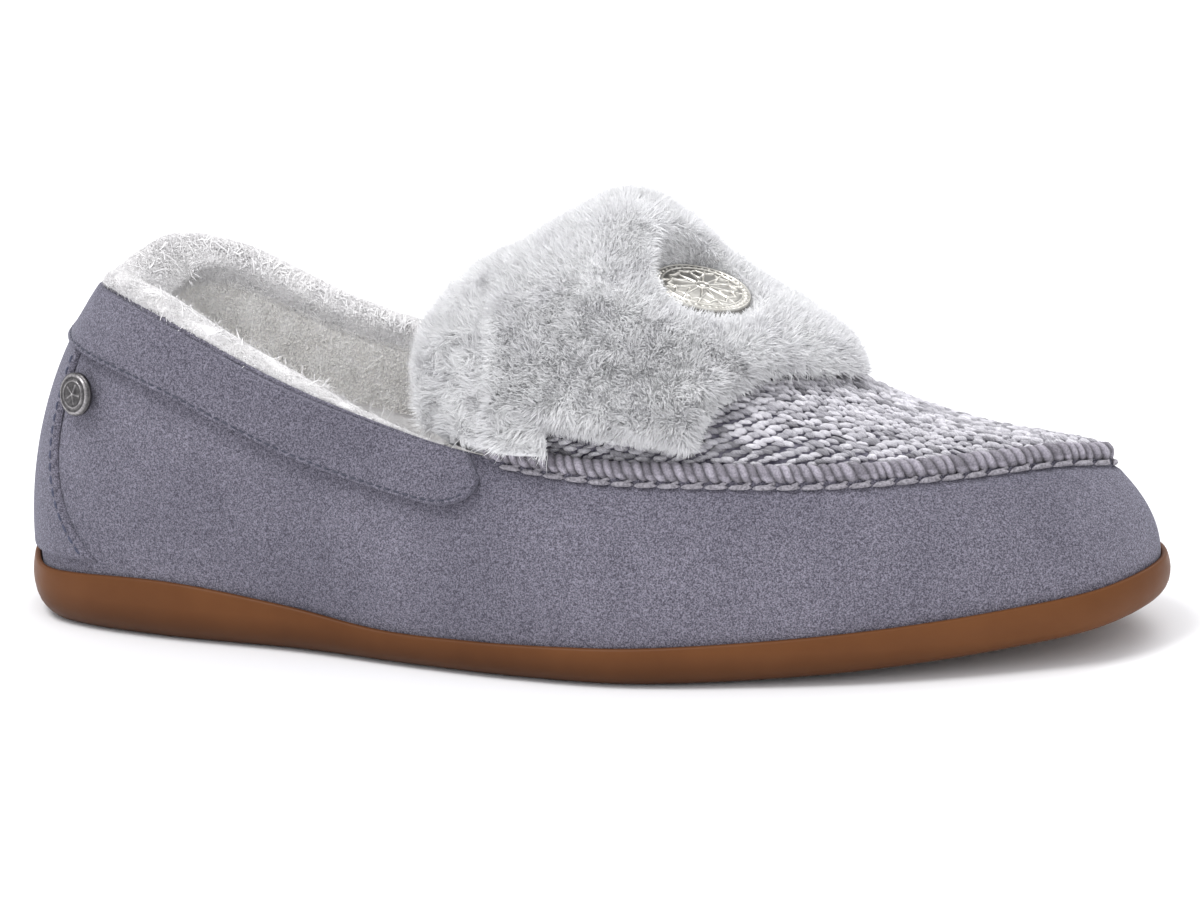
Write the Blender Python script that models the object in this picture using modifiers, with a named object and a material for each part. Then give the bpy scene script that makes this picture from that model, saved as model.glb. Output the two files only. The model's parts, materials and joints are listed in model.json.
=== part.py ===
"""Fluffy house slipper for the right foot: a moccasin with a rubber cup sole and a fold-over fur cuff.

Metres, +Z up, toe towards +X, the foot's outer side towards -Y. Every layer of the upper is taken from
one surface, which runs from the sole up to the top edge, so the layers nest at any size.
"""

import math

import bmesh
import bpy
import numpy as np
from mathutils import Vector

MM = 0.001

# Overall sizes.
LENGTH = 266 * MM
HEEL_WIDTH = 68 * MM
WAIST_WIDTH = 71 * MM
BALL_WIDTH = 96 * MM
HEEL_HEIGHT = 77 * MM
SEAM_HEIGHT = 45 * MM
INSTEP_HEIGHT = 80 * MM

# Sole unit.
HEEL_SOLE = 14 * MM
WAIST_SOLE = 8.1 * MM
FORE_SOLE = 9.8 * MM
TOE_SPRING = 8.4 * MM
HEEL_SPRING = 1.8 * MM
CUP_FLOOR = 4 * MM
RIM_WALL = 1.1 * MM
RIM_SLOPE = 1.0 * MM
MIDSOLE_DROP = 0.5 * MM
BOARD = 1.5 * MM
FOOTBED = 4.5 * MM
FOOTBED_DISH = 1.2 * MM
DISH_EDGE = 8 * MM
FOOTBED_INSET = 4.5 * MM
COVER = 2.5 * MM

# Upper.
SUEDE = 1.4 * MM
STIFFENER = 1.0 * MM
COUNTER_TOP = 0.5
LINING = 6 * MM
LINING_RISE = 3.5 * MM
PLUG_LINING = 3.5 * MM
BAND = 1.3 * MM
BAND_WIDTH = 16 * MM
BAND_TOP = 0.4 * MM
BACKSTAY_HALF = 28 * MM
HEEL_STATION = 18 * MM
TWEED = 1.6 * MM
RIDGE_RADIUS = 1.6 * MM
RIDGE_INSET = 0.5 * MM
SEAM_THREAD_DROP = 1.6 * MM
PLUG_INSET = 3.2 * MM
THREAD_RADIUS = 0.4 * MM
YARN_RADIUS = 0.5 * MM
STITCH_MARGIN = 2.2 * MM

# Tongue and cuff.
TONGUE = 8 * MM
TONGUE_REACH = 2 * MM
TONGUE_REAR = 20 * MM
TONGUE_ANGLE = 64
TONGUE_SAG = 0.065 / MM
TONGUE_SAG_START = 6 * MM
CUFF_CLEARANCE = 2.2 * MM
CUFF_BACKING = 0.8 * MM
CUFF_LOFT = 17 * MM
CUFF_REACH = 82 * MM
CUFF_SIDE_CUT = 30 * MM
CUFF_REAR_CUT = 8 * MM
CUFF_REAR_GAP = 0.6 * MM
CUFF_ANGLE = 79
CUFF_LEAN = math.radians(8)
CUFF_FRONT_ROUND = 0.02

# Metal parts.
CONCHO_RADIUS = 11.3 * MM
CONCHO_THICK = 1.8 * MM
CONCHO_REACH = 45 * MM
CONCHO_SINK = 9.5 * MM
CONCHO_BEVEL = 0.5 * MM
CONCHO_SEARCH = 25 * MM
LEAST_CONCHO_LIFT = 2.5 * MM
CUTTER_REACH = 40 * MM
POST_RADIUS = 1.5 * MM
WASHER_RADIUS = 4 * MM
WASHER_THICK = 0.6 * MM
RIVET_RADIUS = 4.9 * MM
RIVET_THICK = 1.4 * MM
RIVET_SEAT = 0.2 * MM
RIVET_LEVEL = 0.6
RIVET_OFFSET = 0.42
RIVET_CUTTER = 5 * MM
BURR_RADIUS = 3 * MM
CONCHO_DOME = 0.6 * MM
CONCHO_ROLL = -0.07

# Gap between pieces that touch, and room around a moving or curved neighbour.
GAP = 0.3 * MM
LOOSE = 0.45 * MM

# The shoe's stations, heel to toe. Each row gives a place on the sole's edge and the place on the top
# edge above it: share of LENGTH, then outer and inner half widths as shares of the width named there.
STATIONS = (
    # sole x, width, outer, inner,      top x, outer, inner, outer height, inner height
    (0.000, HEEL_WIDTH, 0.000, 0.000, 0.086, 0.000, 0.000, 0.975, 0.975),
    (0.021, HEEL_WIDTH, 0.280, 0.280, 0.095, 0.162, 0.162, 1.000, 1.000),
    (0.068, HEEL_WIDTH, 0.412, 0.412, 0.115, 0.309, 0.309, 1.023, 1.018),
    (0.158, HEEL_WIDTH, 0.500, 0.478, 0.169, 0.434, 0.426, 0.974, 0.956),
    (0.282, WAIST_WIDTH, 0.535, 0.465, 0.271, 0.465, 0.444, 0.812, 0.786),
    (0.395, WAIST_WIDTH, 0.627, 0.479, 0.365, 0.493, 0.472, 0.701, 0.684),
    (0.489, BALL_WIDTH, 0.510, 0.385, 0.447, 0.380, 0.370, 1.078, 1.060),
    (0.583, BALL_WIDTH, 0.526, 0.427, 0.549, 0.408, 0.388, 1.013, 0.970),
    (0.692, BALL_WIDTH, 0.479, 0.470, 0.658, 0.398, 0.388, 1.004, 0.910),
    (0.789, BALL_WIDTH, 0.411, 0.455, 0.752, 0.328, 0.350, 0.982, 0.850),
    (0.887, BALL_WIDTH, 0.300, 0.386, 0.838, 0.192, 0.285, 0.956, 0.805),
    (0.966, BALL_WIDTH, 0.165, 0.262, 0.914, 0.030, 0.200, 0.933, 0.810),
    (1.000, BALL_WIDTH, -0.060, 0.060, 0.949, -0.095, 0.095, 0.870, 0.870),
)
HALF_TURN = len(STATIONS) - 1
FULL_TURN = 2 * HALF_TURN
THROAT = 6
LINES_PER_STATION = 3
LINES = np.arange(0, FULL_TURN, 1 / LINES_PER_STATION)

parts = bpy.data.collections.new("fluffy_house_slipper")
cutters = bpy.data.collections.new("cutters")
materials = {}


def clear_scene():
    for obj in list(bpy.data.objects):
        bpy.data.objects.remove(obj)
    bpy.context.scene.collection.children.link(parts)
    bpy.context.scene.collection.children.link(cutters)


def make_material(name, color, roughness, metallic=0.0):
    material = bpy.data.materials.new(name)
    material.use_nodes = True
    shader = material.node_tree.nodes["Principled BSDF"]
    shader.inputs["Base Color"].default_value = (*color, 1)
    shader.inputs["Roughness"].default_value = roughness
    shader.inputs["Metallic"].default_value = metallic
    materials[name] = material


def make_materials():
    make_material("gum_rubber", (0.36, 0.16, 0.06), 0.5)
    make_material("foam", (0.75, 0.72, 0.65), 0.9)
    make_material("board", (0.55, 0.45, 0.32), 0.8)
    make_material("suede", (0.23, 0.24, 0.30), 0.95)
    make_material("tweed", (0.45, 0.44, 0.50), 0.95)
    make_material("yarn", (0.22, 0.20, 0.25), 0.9)
    make_material("thread", (0.12, 0.13, 0.18), 0.8)
    make_material("fur", (0.86, 0.86, 0.88), 1.0)
    make_material("fleece", (0.84, 0.81, 0.76), 1.0)
    make_material("stiffener", (0.70, 0.68, 0.62), 0.8)
    make_material("backing", (0.35, 0.34, 0.37), 0.9)
    make_material("silver", (0.72, 0.69, 0.62), 0.35, 1.0)
    make_material("pewter", (0.30, 0.29, 0.28), 0.4, 1.0)


# Curves and surfaces.


def smooth(places, values, x):
    """Cubic Hermite curve through (places, values), with central differences as its slopes."""
    places, values = np.asarray(places, float), np.asarray(values, float)
    slopes = np.gradient(values, places, axis=0)
    x = np.clip(x, places[0], places[-1])
    k = np.clip(np.searchsorted(places, x, side="right") - 1, 0, len(places) - 2)
    step = places[k + 1] - places[k]
    s = (x - places[k]) / step
    rise = values[k + 1] - values[k]
    start, end = slopes[k] * step, slopes[k + 1] * step
    return values[k] + s * start + s**2 * (3 * rise - 2 * start - end) + s**3 * (start + end - 2 * rise)


def loop_through(knots, t):
    """Closed curve through knots at t = 0, 1, 2..., each segment a Catmull-Rom cubic."""
    knots = np.asarray(knots, float)
    k = np.floor(t).astype(int)
    s = (t - k)[..., None]
    before, start, end, after = (knots[(k + shift) % len(knots)] for shift in (-1, 0, 1, 2))
    bend = 2 * before - 5 * start + 4 * end - after
    twist = 3 * start - before - 3 * end + after
    return 0.5 * (2 * start + s * (end - before) + s**2 * bend + s**3 * twist)


def height_of(row, share):
    """Height of the top edge at a station: a share of the heel height, or of the seam height at the ball."""
    return share * (HEEL_HEIGHT if row[1] != BALL_WIDTH else SEAM_HEIGHT)


def sole_knots():
    """Knots of the sole's outline: the outer side from heel to toe, then the inner side back to the heel."""
    outer_side = [(LENGTH * row[0], -row[2] * row[1], 0.0) for row in STATIONS]
    inner_side = [(LENGTH * row[0], row[3] * row[1], 0.0) for row in STATIONS]
    return outer_side + inner_side[-2:0:-1]


def top_knots():
    """Knots of the upper's top edge, in the same order as the sole's."""
    outer_side = [(LENGTH * row[4], -row[5] * row[1], height_of(row, row[7])) for row in STATIONS]
    inner_side = [(LENGTH * row[4], row[6] * row[1], height_of(row, row[8])) for row in STATIONS]
    return outer_side + inner_side[-2:0:-1]


SOLE_KNOTS = sole_knots()
TOP_KNOTS = top_knots()


def sole_edge(t, inset=0.0):
    """Points (x, y) of the sole's outline, moved inwards by inset."""
    step = 0.02
    along = loop_through(SOLE_KNOTS, t + step) - loop_through(SOLE_KNOTS, t - step)
    inward = np.stack([-along[..., 1], along[..., 0]], -1)
    inward /= np.linalg.norm(inward, axis=-1, keepdims=True)
    return loop_through(SOLE_KNOTS, t)[..., :2] + inset * inward


def ground(x):
    """Height of the tread: flat from heel to ball, curving up at the toe and a little at the heel."""
    ball, heel = 0.564 * LENGTH, 0.056 * LENGTH
    toe_part = np.clip((x - ball) / (LENGTH - ball), 0, None) ** 1.8
    heel_part = np.clip((heel - x) / heel, 0, None) ** 2
    return TOE_SPRING * toe_part + HEEL_SPRING * heel_part


def rim(x):
    """Height of the cup sole's rim: the tread plus the wall, thick at the heel and thin at the waist."""
    shares = (0.0, 0.17, 0.27, 0.36, 0.45, 0.56, 0.75, 1.0)
    walls = (0.86 * HEEL_SOLE, HEEL_SOLE, (HEEL_SOLE + WAIST_SOLE) / 2, WAIST_SOLE, WAIST_SOLE)
    walls += ((WAIST_SOLE + FORE_SOLE) / 2, FORE_SOLE, FORE_SOLE)
    return ground(x) + smooth(np.array(shares) * LENGTH, walls, x)


UPPER_INSET = RIM_SLOPE + RIM_WALL + GAP
FOOT_DEPTH = 2.4 * MM
WAIST_BULGE = 1.6 * MM


def upper(t, v):
    """The suede's outer face: a cubic Bezier from inside the rim (v = 0) to the top edge (v = 1)."""
    foot_xy = sole_edge(t, UPPER_INSET)
    foot = np.concatenate([foot_xy, (rim(foot_xy[..., 0]) - FOOT_DEPTH)[..., None]], -1)
    top = loop_through(TOP_KNOTS, t)
    rise = (top - foot)[..., 2:]
    up = np.array([0.0, 0.0, 1.0])
    swell = np.concatenate([sole_edge(t, UPPER_INSET - WAIST_BULGE), foot[..., 2:]], -1)
    low = swell + 0.38 * rise * up
    high = top + 0.65 * (foot - top) * np.array([1.0, 1.0, 0.0]) - 0.24 * rise * up
    v = np.asarray(v, float)[..., None]
    w = 1 - v
    return w**3 * foot + 3 * w**2 * v * low + 3 * w * v**2 * high + v**3 * top


def skin(t, v, lift=0.0):
    """A point on the upper's face, moved out along the face's normal by lift."""
    step = 0.01
    along = upper(t + step, v) - upper(t - step, v)
    across = upper(t, v + step) - upper(t, v - step)
    normal = np.cross(along, across)
    normal /= np.linalg.norm(normal, axis=-1, keepdims=True)
    return upper(t, v) + lift * normal


def down_from_top(t, distance):
    """The value of v at a distance below the top edge, measured along the face."""
    v = np.linspace(1.3, 0, 131)
    points = upper(t[:, None] + 0 * v, v + 0 * t[:, None])
    steps = np.linalg.norm(np.diff(points, axis=1), axis=2)
    run = np.concatenate([np.zeros((len(t), 1)), np.cumsum(steps, 1)], 1)
    top = int(np.argmin(np.abs(v - 1)))
    start = run[:, top]
    wanted = np.broadcast_to(distance, t.shape) + start
    return np.array([np.interp(goal, row, v) for goal, row in zip(wanted, run)])


def crest(x):
    """Height of the instep's centre line, falling from the fold of the cuff to the toe."""
    shares = (0.36, 0.443, 0.508, 0.564, 0.62, 0.65, 0.692, 0.722, 0.752, 0.793, 0.835, 0.876, 0.917, 0.95)
    drops = (-2.5, 0, 2.5, 6, 10.6, 14, 18.4, 21.6, 25.2, 29.3, 32.2, 34.2, 35.8, 37.5)
    scale = (INSTEP_HEIGHT - SEAM_HEIGHT) / (35 * MM)
    return INSTEP_HEIGHT - scale * MM * smooth(np.array(shares) * LENGTH, drops, x)


def arch(r, angle, inset=0.0, drop=0.0):
    """The instep: half ellipses from the outer top edge to the inner one at station r, crest in between.

    inset draws both feet of the arch in, and drop lowers its crest.
    """
    outer, inner = loop_through(TOP_KNOTS, r), loop_through(TOP_KNOTS, FULL_TURN - r)
    middle, half = (outer + inner) / 2, (inner - outer) / 2
    width = np.linalg.norm(half, axis=-1, keepdims=True)
    half = half * (width - np.asarray(inset)[..., None]) / width
    rise = (crest(middle[..., 0]) - middle[..., 2] - drop)[..., None]
    up = np.array([0.0, 0.0, 1.0])
    return middle + half * np.sin(angle)[..., None] + rise * np.cos(angle)[..., None] * up


def station_at(x):
    """The station number at which the arch's middle is at x."""
    r = np.linspace(3, HALF_TURN, 400)
    middle = (loop_through(TOP_KNOTS, r) + loop_through(TOP_KNOTS, FULL_TURN - r))[:, 0] / 2
    return np.interp(x, middle, r)


# Objects.


def finish(obj, material, smooth_angle=40):
    parts.objects.link(obj)
    obj.data.materials.append(materials[material])
    if obj.type == "MESH":
        obj.data.shade_smooth()
        obj.data.set_sharp_from_angle(angle=math.radians(smooth_angle))
    return obj


def mesh_from(bm, name):
    mesh = bpy.data.meshes.new(name)
    bm.to_mesh(mesh)
    bm.free()
    return bpy.data.objects.new(name, mesh)


def grid_mesh(points):
    """A primitive grid whose vertices are moved to points[i, j]."""
    rows, columns = points.shape[:2]
    bm = bmesh.new()
    bmesh.ops.create_grid(bm, x_segments=rows - 1, y_segments=columns - 1, size=0.5)
    for vertex in bm.verts:
        i = round((vertex.co.x + 0.5) * (rows - 1))
        j = round((vertex.co.y + 0.5) * (columns - 1))
        vertex.co = points[i, j]
    return bm


def shell(name, points, thickness, material):
    """An open surface, whose front faces out, given its thickness inwards by Solidify."""
    obj = mesh_from(grid_mesh(points), name)
    modifier = obj.modifiers.new("thickness", "SOLIDIFY")
    modifier.thickness = thickness
    modifier.offset = -1
    return finish(obj, material)


def slab(name, lower_face, upper_face, material):
    """A closed solid between two grids of the same size, joined along their edges."""
    bm = grid_mesh(upper_face)
    for face in bridge_to_grid(bm, lower_face):
        face.normal_flip()
    obj = mesh_from(bm, name)
    return finish(obj, material)


def bridge_to_grid(bm, points):
    """Adds a second grid to bm, bridges the two rims, and returns the second grid's faces."""
    rims = [edge for edge in bm.edges if edge.is_boundary]
    below = grid_mesh(points)
    spare = bpy.data.meshes.new("lower_face")
    below.to_mesh(spare)
    below.free()
    known = set(bm.faces)
    bm.from_mesh(spare)
    bpy.data.meshes.remove(spare)
    added = [face for face in bm.faces if face not in known]
    rims += [edge for edge in bm.edges if edge.is_boundary and edge not in set(rims)]
    bmesh.ops.bridge_loops(bm, edges=rims)
    return added


def ring_solid(name, rings, material):
    """A loft through closed rings, bottom first, with ladders of faces across both ends."""
    count = len(LINES)
    bm = bmesh.new()
    loops = [[bm.verts.new(point) for point in ring] for ring in rings]
    for low, high in zip(loops, loops[1:]):
        for i in range(count):
            j = (i + 1) % count
            bm.faces.new((low[i], low[j], high[j], high[i]))
    for loop, upwards in ((loops[0], False), (loops[-1], True)):
        for i in range(count // 2):
            corners = [loop[i], loop[i + 1], loop[count - 1 - i], loop[-i % count]]
            corners = list(dict.fromkeys(corners))
            bm.faces.new(corners if upwards else corners[::-1])
    return finish(mesh_from(bm, name), material)


def ring(inset, height):
    """A ring of points inset from the sole's edge; height gives z from x."""
    edge = sole_edge(LINES, inset)
    return np.column_stack([edge, height(edge[:, 0])])


def tube(name, points, radius, material):
    """A thread or cord along points."""
    data = bpy.data.curves.new(name, "CURVE")
    data.dimensions = "3D"
    data.bevel_depth = radius
    data.bevel_resolution = 1
    data.use_fill_caps = True
    spline = data.splines.new("POLY")
    spline.points.add(len(points) - 1)
    for knot, point in zip(spline.points, points):
        knot.co = (*point, 1)
    return finish(bpy.data.objects.new(name, data), material)


def turned(name, profile, place, normal, material):
    """A profile of (radius, height) turned about its axis, which stands at place along normal."""
    mesh = bpy.data.meshes.new(name)
    points = [(radius, 0, height) for radius, height in profile]
    mesh.from_pydata(points, [(i, i + 1) for i in range(len(points) - 1)], [])
    obj = bpy.data.objects.new(name, mesh)
    modifier = obj.modifiers.new("turn", "SCREW")
    modifier.steps = 32
    modifier.render_steps = 32
    modifier.use_merge_vertices = True
    modifier.merge_threshold = 0.00001
    modifier.use_smooth_shade = True
    stand(obj, place, normal)
    return finish(obj, material)


def stand(obj, place, normal):
    obj.location = place
    obj.rotation_mode = "QUATERNION"
    obj.rotation_quaternion = Vector(normal).to_track_quat("Z", "Y")


def rod_mesh(name, radius, low, high, place, normal):
    """A round bar from low to high along normal, measured from place."""
    bm = bmesh.new()
    bmesh.ops.create_cone(
        bm, cap_ends=True, segments=24, radius1=radius, radius2=radius, depth=high - low
    )
    bmesh.ops.translate(bm, verts=bm.verts, vec=(0, 0, (low + high) / 2))
    obj = mesh_from(bm, name)
    stand(obj, place, normal)
    return obj


def bar(name, radius, low, high, place, normal, material):
    return finish(rod_mesh(name, radius, low, high, place, normal), material)


def cylinder(name, radius, low, high, place, normal):
    """A cutter."""
    obj = rod_mesh(name, radius, low, high, place, normal)
    obj.hide_render = True
    obj.display_type = "WIRE"
    cutters.objects.link(obj)
    return obj


def burr(name, radius, place, normal, material):
    """A washer with room for the post through its hole."""
    bore, half = POST_RADIUS + GAP, WASHER_THICK / 2
    profile = [(bore, half), (radius, half), (radius, -half), (bore, -half), (bore, half)]
    return turned(name, profile, place, normal, material)


def cut(obj, cutter):
    modifier = obj.modifiers.new("cut", "BOOLEAN")
    modifier.operation = "DIFFERENCE"
    modifier.object = cutter


# Sole unit.


def make_outsole():
    def wall(share):
        return lambda x: ground(x) + share * (rim(x) - ground(x))

    rings = [
        ring(5 * MM, ground),
        ring(1.8 * MM, wall(0.12)),
        ring(0.3 * MM, wall(0.36)),
        ring(0, wall(0.6)),
        ring(RIM_SLOPE, rim),
        ring(RIM_SLOPE + RIM_WALL, rim),
        ring(RIM_SLOPE + RIM_WALL, lambda x: ground(x) + CUP_FLOOR),
    ]
    ring_solid("outsole", rings, "gum_rubber")


def make_sole_fillings():
    inside = UPPER_INSET + SUEDE + LOOSE
    ring_solid(
        "midsole",
        [
            ring(inside, lambda x: ground(x) + CUP_FLOOR + GAP),
            ring(inside, lambda x: rim(x) - MIDSOLE_DROP),
        ],
        "foam",
    )
    board_floor = GAP - MIDSOLE_DROP
    board_top = board_floor + BOARD
    bed_floor = board_top + GAP
    bed_top = bed_floor + FOOTBED
    cover_floor = bed_top + GAP
    cover_top = cover_floor + COVER
    board = [ring(inside + GAP, lambda x, h=h: rim(x) + h) for h in (board_floor, board_top)]
    ring_solid("insole_board", board, "board")
    edge = inside + FOOTBED_INSET
    ring_solid(
        "footbed",
        [
            ring(edge, lambda x: rim(x) + bed_floor),
            ring(edge, lambda x: rim(x) + bed_top),
            ring(edge + DISH_EDGE, lambda x: rim(x) + bed_top - FOOTBED_DISH),
        ],
        "foam",
    )
    ring_solid(
        "footbed_cover",
        [
            ring(edge + DISH_EDGE, lambda x: rim(x) + cover_floor - FOOTBED_DISH),
            ring(edge, lambda x: rim(x) + cover_floor),
            ring(edge, lambda x: rim(x) + cover_top),
            ring(edge + DISH_EDGE, lambda x: rim(x) + cover_top - FOOTBED_DISH),
        ],
        "fleece",
    )
    return cover_top


# Upper.


def layer(name, t, v, lift, thickness, material):
    """A layer of the upper over the lines t and the levels v; v may differ from line to line."""
    v = np.asarray(v, float)
    if v.ndim == 1:
        v = np.broadcast_to(v, (len(t), len(v)))
    points = skin(np.broadcast_to(t[:, None], v.shape), v, lift)
    return shell(name, points, thickness, material)


def lines_between(start, end):
    """The shared lines strictly inside start and end, with both ends added."""
    first = math.floor(start * LINES_PER_STATION) + 1
    last = math.ceil(end * LINES_PER_STATION) - 1
    inner = np.arange(first, last + 1) / LINES_PER_STATION
    return np.concatenate([[start], inner, [end]])


HEEL_SEAM = 0.02
WRAP_LEVELS = np.array([0, 0.1, 0.24, 0.4, 0.56, 0.7, 0.82, 0.92, 1])


def make_wrap():
    t = lines_between(HEEL_SEAM, FULL_TURN - HEEL_SEAM)
    return layer("suede_wrap", t, WRAP_LEVELS, 0, SUEDE, "suede")


def band_drop(t):
    """Width of the collar band at t, rounded off where its ends tuck up in front of the throat."""
    end = THROAT + 0.05
    reach = np.clip((end - np.abs(t)) / 0.8, 0, 1)
    return BAND_WIDTH * (0.85 + 0.15 * np.clip(np.abs(t) / 2, 0, 1)) * np.sqrt(1 - (1 - reach) ** 2)


def band_lines():
    tip = THROAT - np.array([0.8, 0.65, 0.5, 0.35, 0.2, 0.08])
    middle = lines_between(-THROAT + 0.8, THROAT - 0.8)[1:-1]
    return np.concatenate([-tip[::-1], middle, tip])


def make_band():
    t = band_lines()
    share = np.linspace(1, 0, 4)
    v = np.stack([down_from_top(t, BAND_TOP + s * (band_drop(t) - BAND_TOP)) for s in share], 1)
    lift = LOOSE + BAND
    layer("collar_band", t, v, lift, BAND, "suede")
    seam = t[np.abs(t) < THROAT - 0.15]
    level = down_from_top(seam, np.maximum(band_drop(seam) - STITCH_MARGIN, 2 * MM))
    tube("band_thread", skin(seam, level, lift + GAP + THREAD_RADIUS), THREAD_RADIUS, "thread")


BACKSTAY_FOOT = 0.12
BACKSTAY_TUCK = 1.2 * MM
BACKSTAY_LOOSE = 0.55 * MM
FOOT_FLARE = 3.2
COLLAR_FLARE = 1.6


def backstay_edge(v):
    """Station of the backstay's edge at level v: narrowest at mid height, wider at both ends."""
    flare = np.where(v < 0.5, FOOT_FLARE, COLLAR_FLARE)
    return BACKSTAY_HALF / HEEL_STATION + flare * (v - 0.5) ** 2


def make_backstay():
    middle = np.array([0.0])
    top = down_from_top(middle, band_drop(middle) + BACKSTAY_TUCK)[0]
    v = np.linspace(BACKSTAY_FOOT, top, 8)
    across = np.linspace(-1, 1, 13)
    t = across[:, None] * backstay_edge(v)[None, :]
    lift = BACKSTAY_LOOSE + SUEDE
    highest = down_from_top(t[:, -1], band_drop(t[:, -1]) + BACKSTAY_TUCK)
    stretch = (highest - BACKSTAY_FOOT) / (top - BACKSTAY_FOOT)
    v = BACKSTAY_FOOT + (v - BACKSTAY_FOOT)[None, :] * stretch[:, None]
    shell("backstay", skin(t, v, lift), SUEDE, "suede")
    share = 1 - STITCH_MARGIN / BACKSTAY_HALF
    for name, side in (("backstay_thread_lateral", 1), ("backstay_thread_medial", -1)):
        edge = t[-1] if side > 0 else t[0]
        level = v[-1] if side > 0 else v[0]
        inner = slice(0, -1)
        points = skin(edge[inner] * share, level[inner], lift + GAP + THREAD_RADIUS)
        tube(name, points, THREAD_RADIUS, "thread")


def make_stiffeners():
    t = lines_between(-2.5, 2.5)
    layer("heel_counter", t, np.linspace(0.16, COUNTER_TOP, 6), -SUEDE - GAP, STIFFENER, "stiffener")
    t = lines_between(HALF_TURN - 2.2, HALF_TURN + 2.2)
    layer("toe_puff", t, np.linspace(0.16, 0.88, 6), -SUEDE - GAP, STIFFENER, "stiffener")


LINING_DEPTH = SUEDE + STIFFENER + 2 * GAP
LINING_JOIN = 0.03
VAMP_LINING_DROP = 3.2 * MM


def lining_start(t, floor):
    """The level at which the lining clears the footbed cover's top."""
    v = np.linspace(0.05, 0.8, 76)
    t, level = np.meshgrid(t, v, indexing="ij")
    faces = [skin(t, level, -LINING_DEPTH), skin(t, level, -LINING_DEPTH - LINING)]
    over = np.minimum(*[face[..., 2] - rim(face[..., 0]) - floor for face in faces])
    return np.array([np.interp(0, row, v) for row in over])


def lining(name, t, top, floor, material):
    start = lining_start(t, floor + GAP)
    share = np.linspace(0, 1, 8)
    v = start[:, None] + (top - start)[:, None] * share
    return layer(name, t, v, -LINING_DEPTH, LINING, material)


def make_linings(floor):
    join = THROAT - 1 / LINES_PER_STATION
    t = lines_between(-join, join)
    lining("quarter_lining", t, down_from_top(t, -LINING_RISE), floor, "fur")
    t = lines_between(join + LINING_JOIN, FULL_TURN - join - LINING_JOIN)
    lining("vamp_lining", t, down_from_top(t, VAMP_LINING_DROP), floor, "fleece")


# Plug and ridge.

PLUG_END = 0.5
PLUG_REAR = 0.508


def arch_grid(r, angle, inset, drop):
    shape = (len(r), len(angle))
    return arch(np.broadcast_to(r[:, None], shape), np.broadcast_to(angle, shape), inset, drop)


def below(points, depth):
    """The grid points[i, j] moved against its normals by depth."""
    normal = np.cross(np.gradient(points, axis=0), np.gradient(points, axis=1))
    normal /= np.linalg.norm(normal, axis=-1, keepdims=True)
    return points - depth * normal


def make_plug():
    rear = station_at(PLUG_REAR * LENGTH)
    tip = [HALF_TURN - 0.7, HALF_TURN - PLUG_END]
    r = np.concatenate([np.linspace(rear, HALF_TURN - 1, 14), tip])
    angle = np.radians(np.linspace(-89, 89, 17))
    face = arch_grid(r, angle, PLUG_INSET, 0)
    shell("plug", face, TWEED, "tweed")
    lined = below(face, TWEED + GAP)[2:-3, 2:-2]
    shell("plug_lining", lined, PLUG_LINING, "fleece")


def make_ridge():
    t = lines_between(THROAT + 0.12, FULL_TURN - THROAT - 0.12)
    edge = loop_through(TOP_KNOTS, t)
    inward = sole_edge(t, 1 * MM) - sole_edge(t)
    inward /= np.linalg.norm(inward, axis=-1, keepdims=True)
    centre = edge + np.column_stack([inward * RIDGE_INSET, np.full(len(t), RIDGE_RADIUS + GAP)])
    tube("seam_ridge", centre, RIDGE_RADIUS, "yarn")
    level = down_from_top(t, SEAM_THREAD_DROP)
    tube("seam_thread", skin(t, level, GAP + YARN_RADIUS), YARN_RADIUS, "yarn")


# Tongue and cuff.

FOLD_SHARE = 0.443


def fold_axis():
    """A point on the line that the cuff turns about: on the instep's crest, where the tongue ends."""
    x = FOLD_SHARE * LENGTH
    return np.array([x, 0.0, crest(x)])


def make_tongue():
    fold = FOLD_SHARE * LENGTH
    x = np.linspace(fold - TONGUE_REAR, PLUG_REAR * LENGTH + TONGUE_REACH, 8)
    r = station_at(x)
    angle = np.radians(np.linspace(-TONGUE_ANGLE, TONGUE_ANGLE, 13))
    sag = TONGUE_SAG * np.clip(fold - TONGUE_SAG_START - x, 0, None) ** 2
    drop = (TWEED + 2 * GAP + sag)[:, None]
    shell("tongue_fur", arch_grid(r, angle, PLUG_INSET + TWEED + GAP, drop), TONGUE, "fur")


def cuff_grid(rows, columns):
    """Stations, angles and x over the cuff: rear edge along the fold, front edge cut back at the sides."""
    angle = np.radians(np.linspace(-CUFF_ANGLE, CUFF_ANGLE, columns))
    fold = FOLD_SHARE * LENGTH
    rear = fold + CUFF_REAR_GAP + CUFF_REAR_CUT * np.abs(np.sin(angle))
    cut_back = np.sqrt(np.sin(angle - CUFF_LEAN) ** 2 + CUFF_FRONT_ROUND)
    front = fold + CUFF_REACH - CUFF_SIDE_CUT * cut_back
    x = rear + (front - rear) * np.linspace(0, 1, rows)[:, None]
    return station_at(x), np.broadcast_to(angle, x.shape), x


def cuff_thickness(x, angle):
    """Depth of the fur over its backing: deepest behind the concho, thin at the front and side edges."""
    fold = FOLD_SHARE * LENGTH
    places = fold + np.array([0, 14, 28, 40, 50, 60, 70, CUFF_REACH / MM]) * MM
    depths = np.array([0.45, 0.86, 1.0, 0.86, 0.72, 0.62, 0.55, 0.42]) * CUFF_LOFT
    side = 0.5 + 0.5 * np.cos(angle) ** 0.8
    return smooth(places, depths, x) * side


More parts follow.
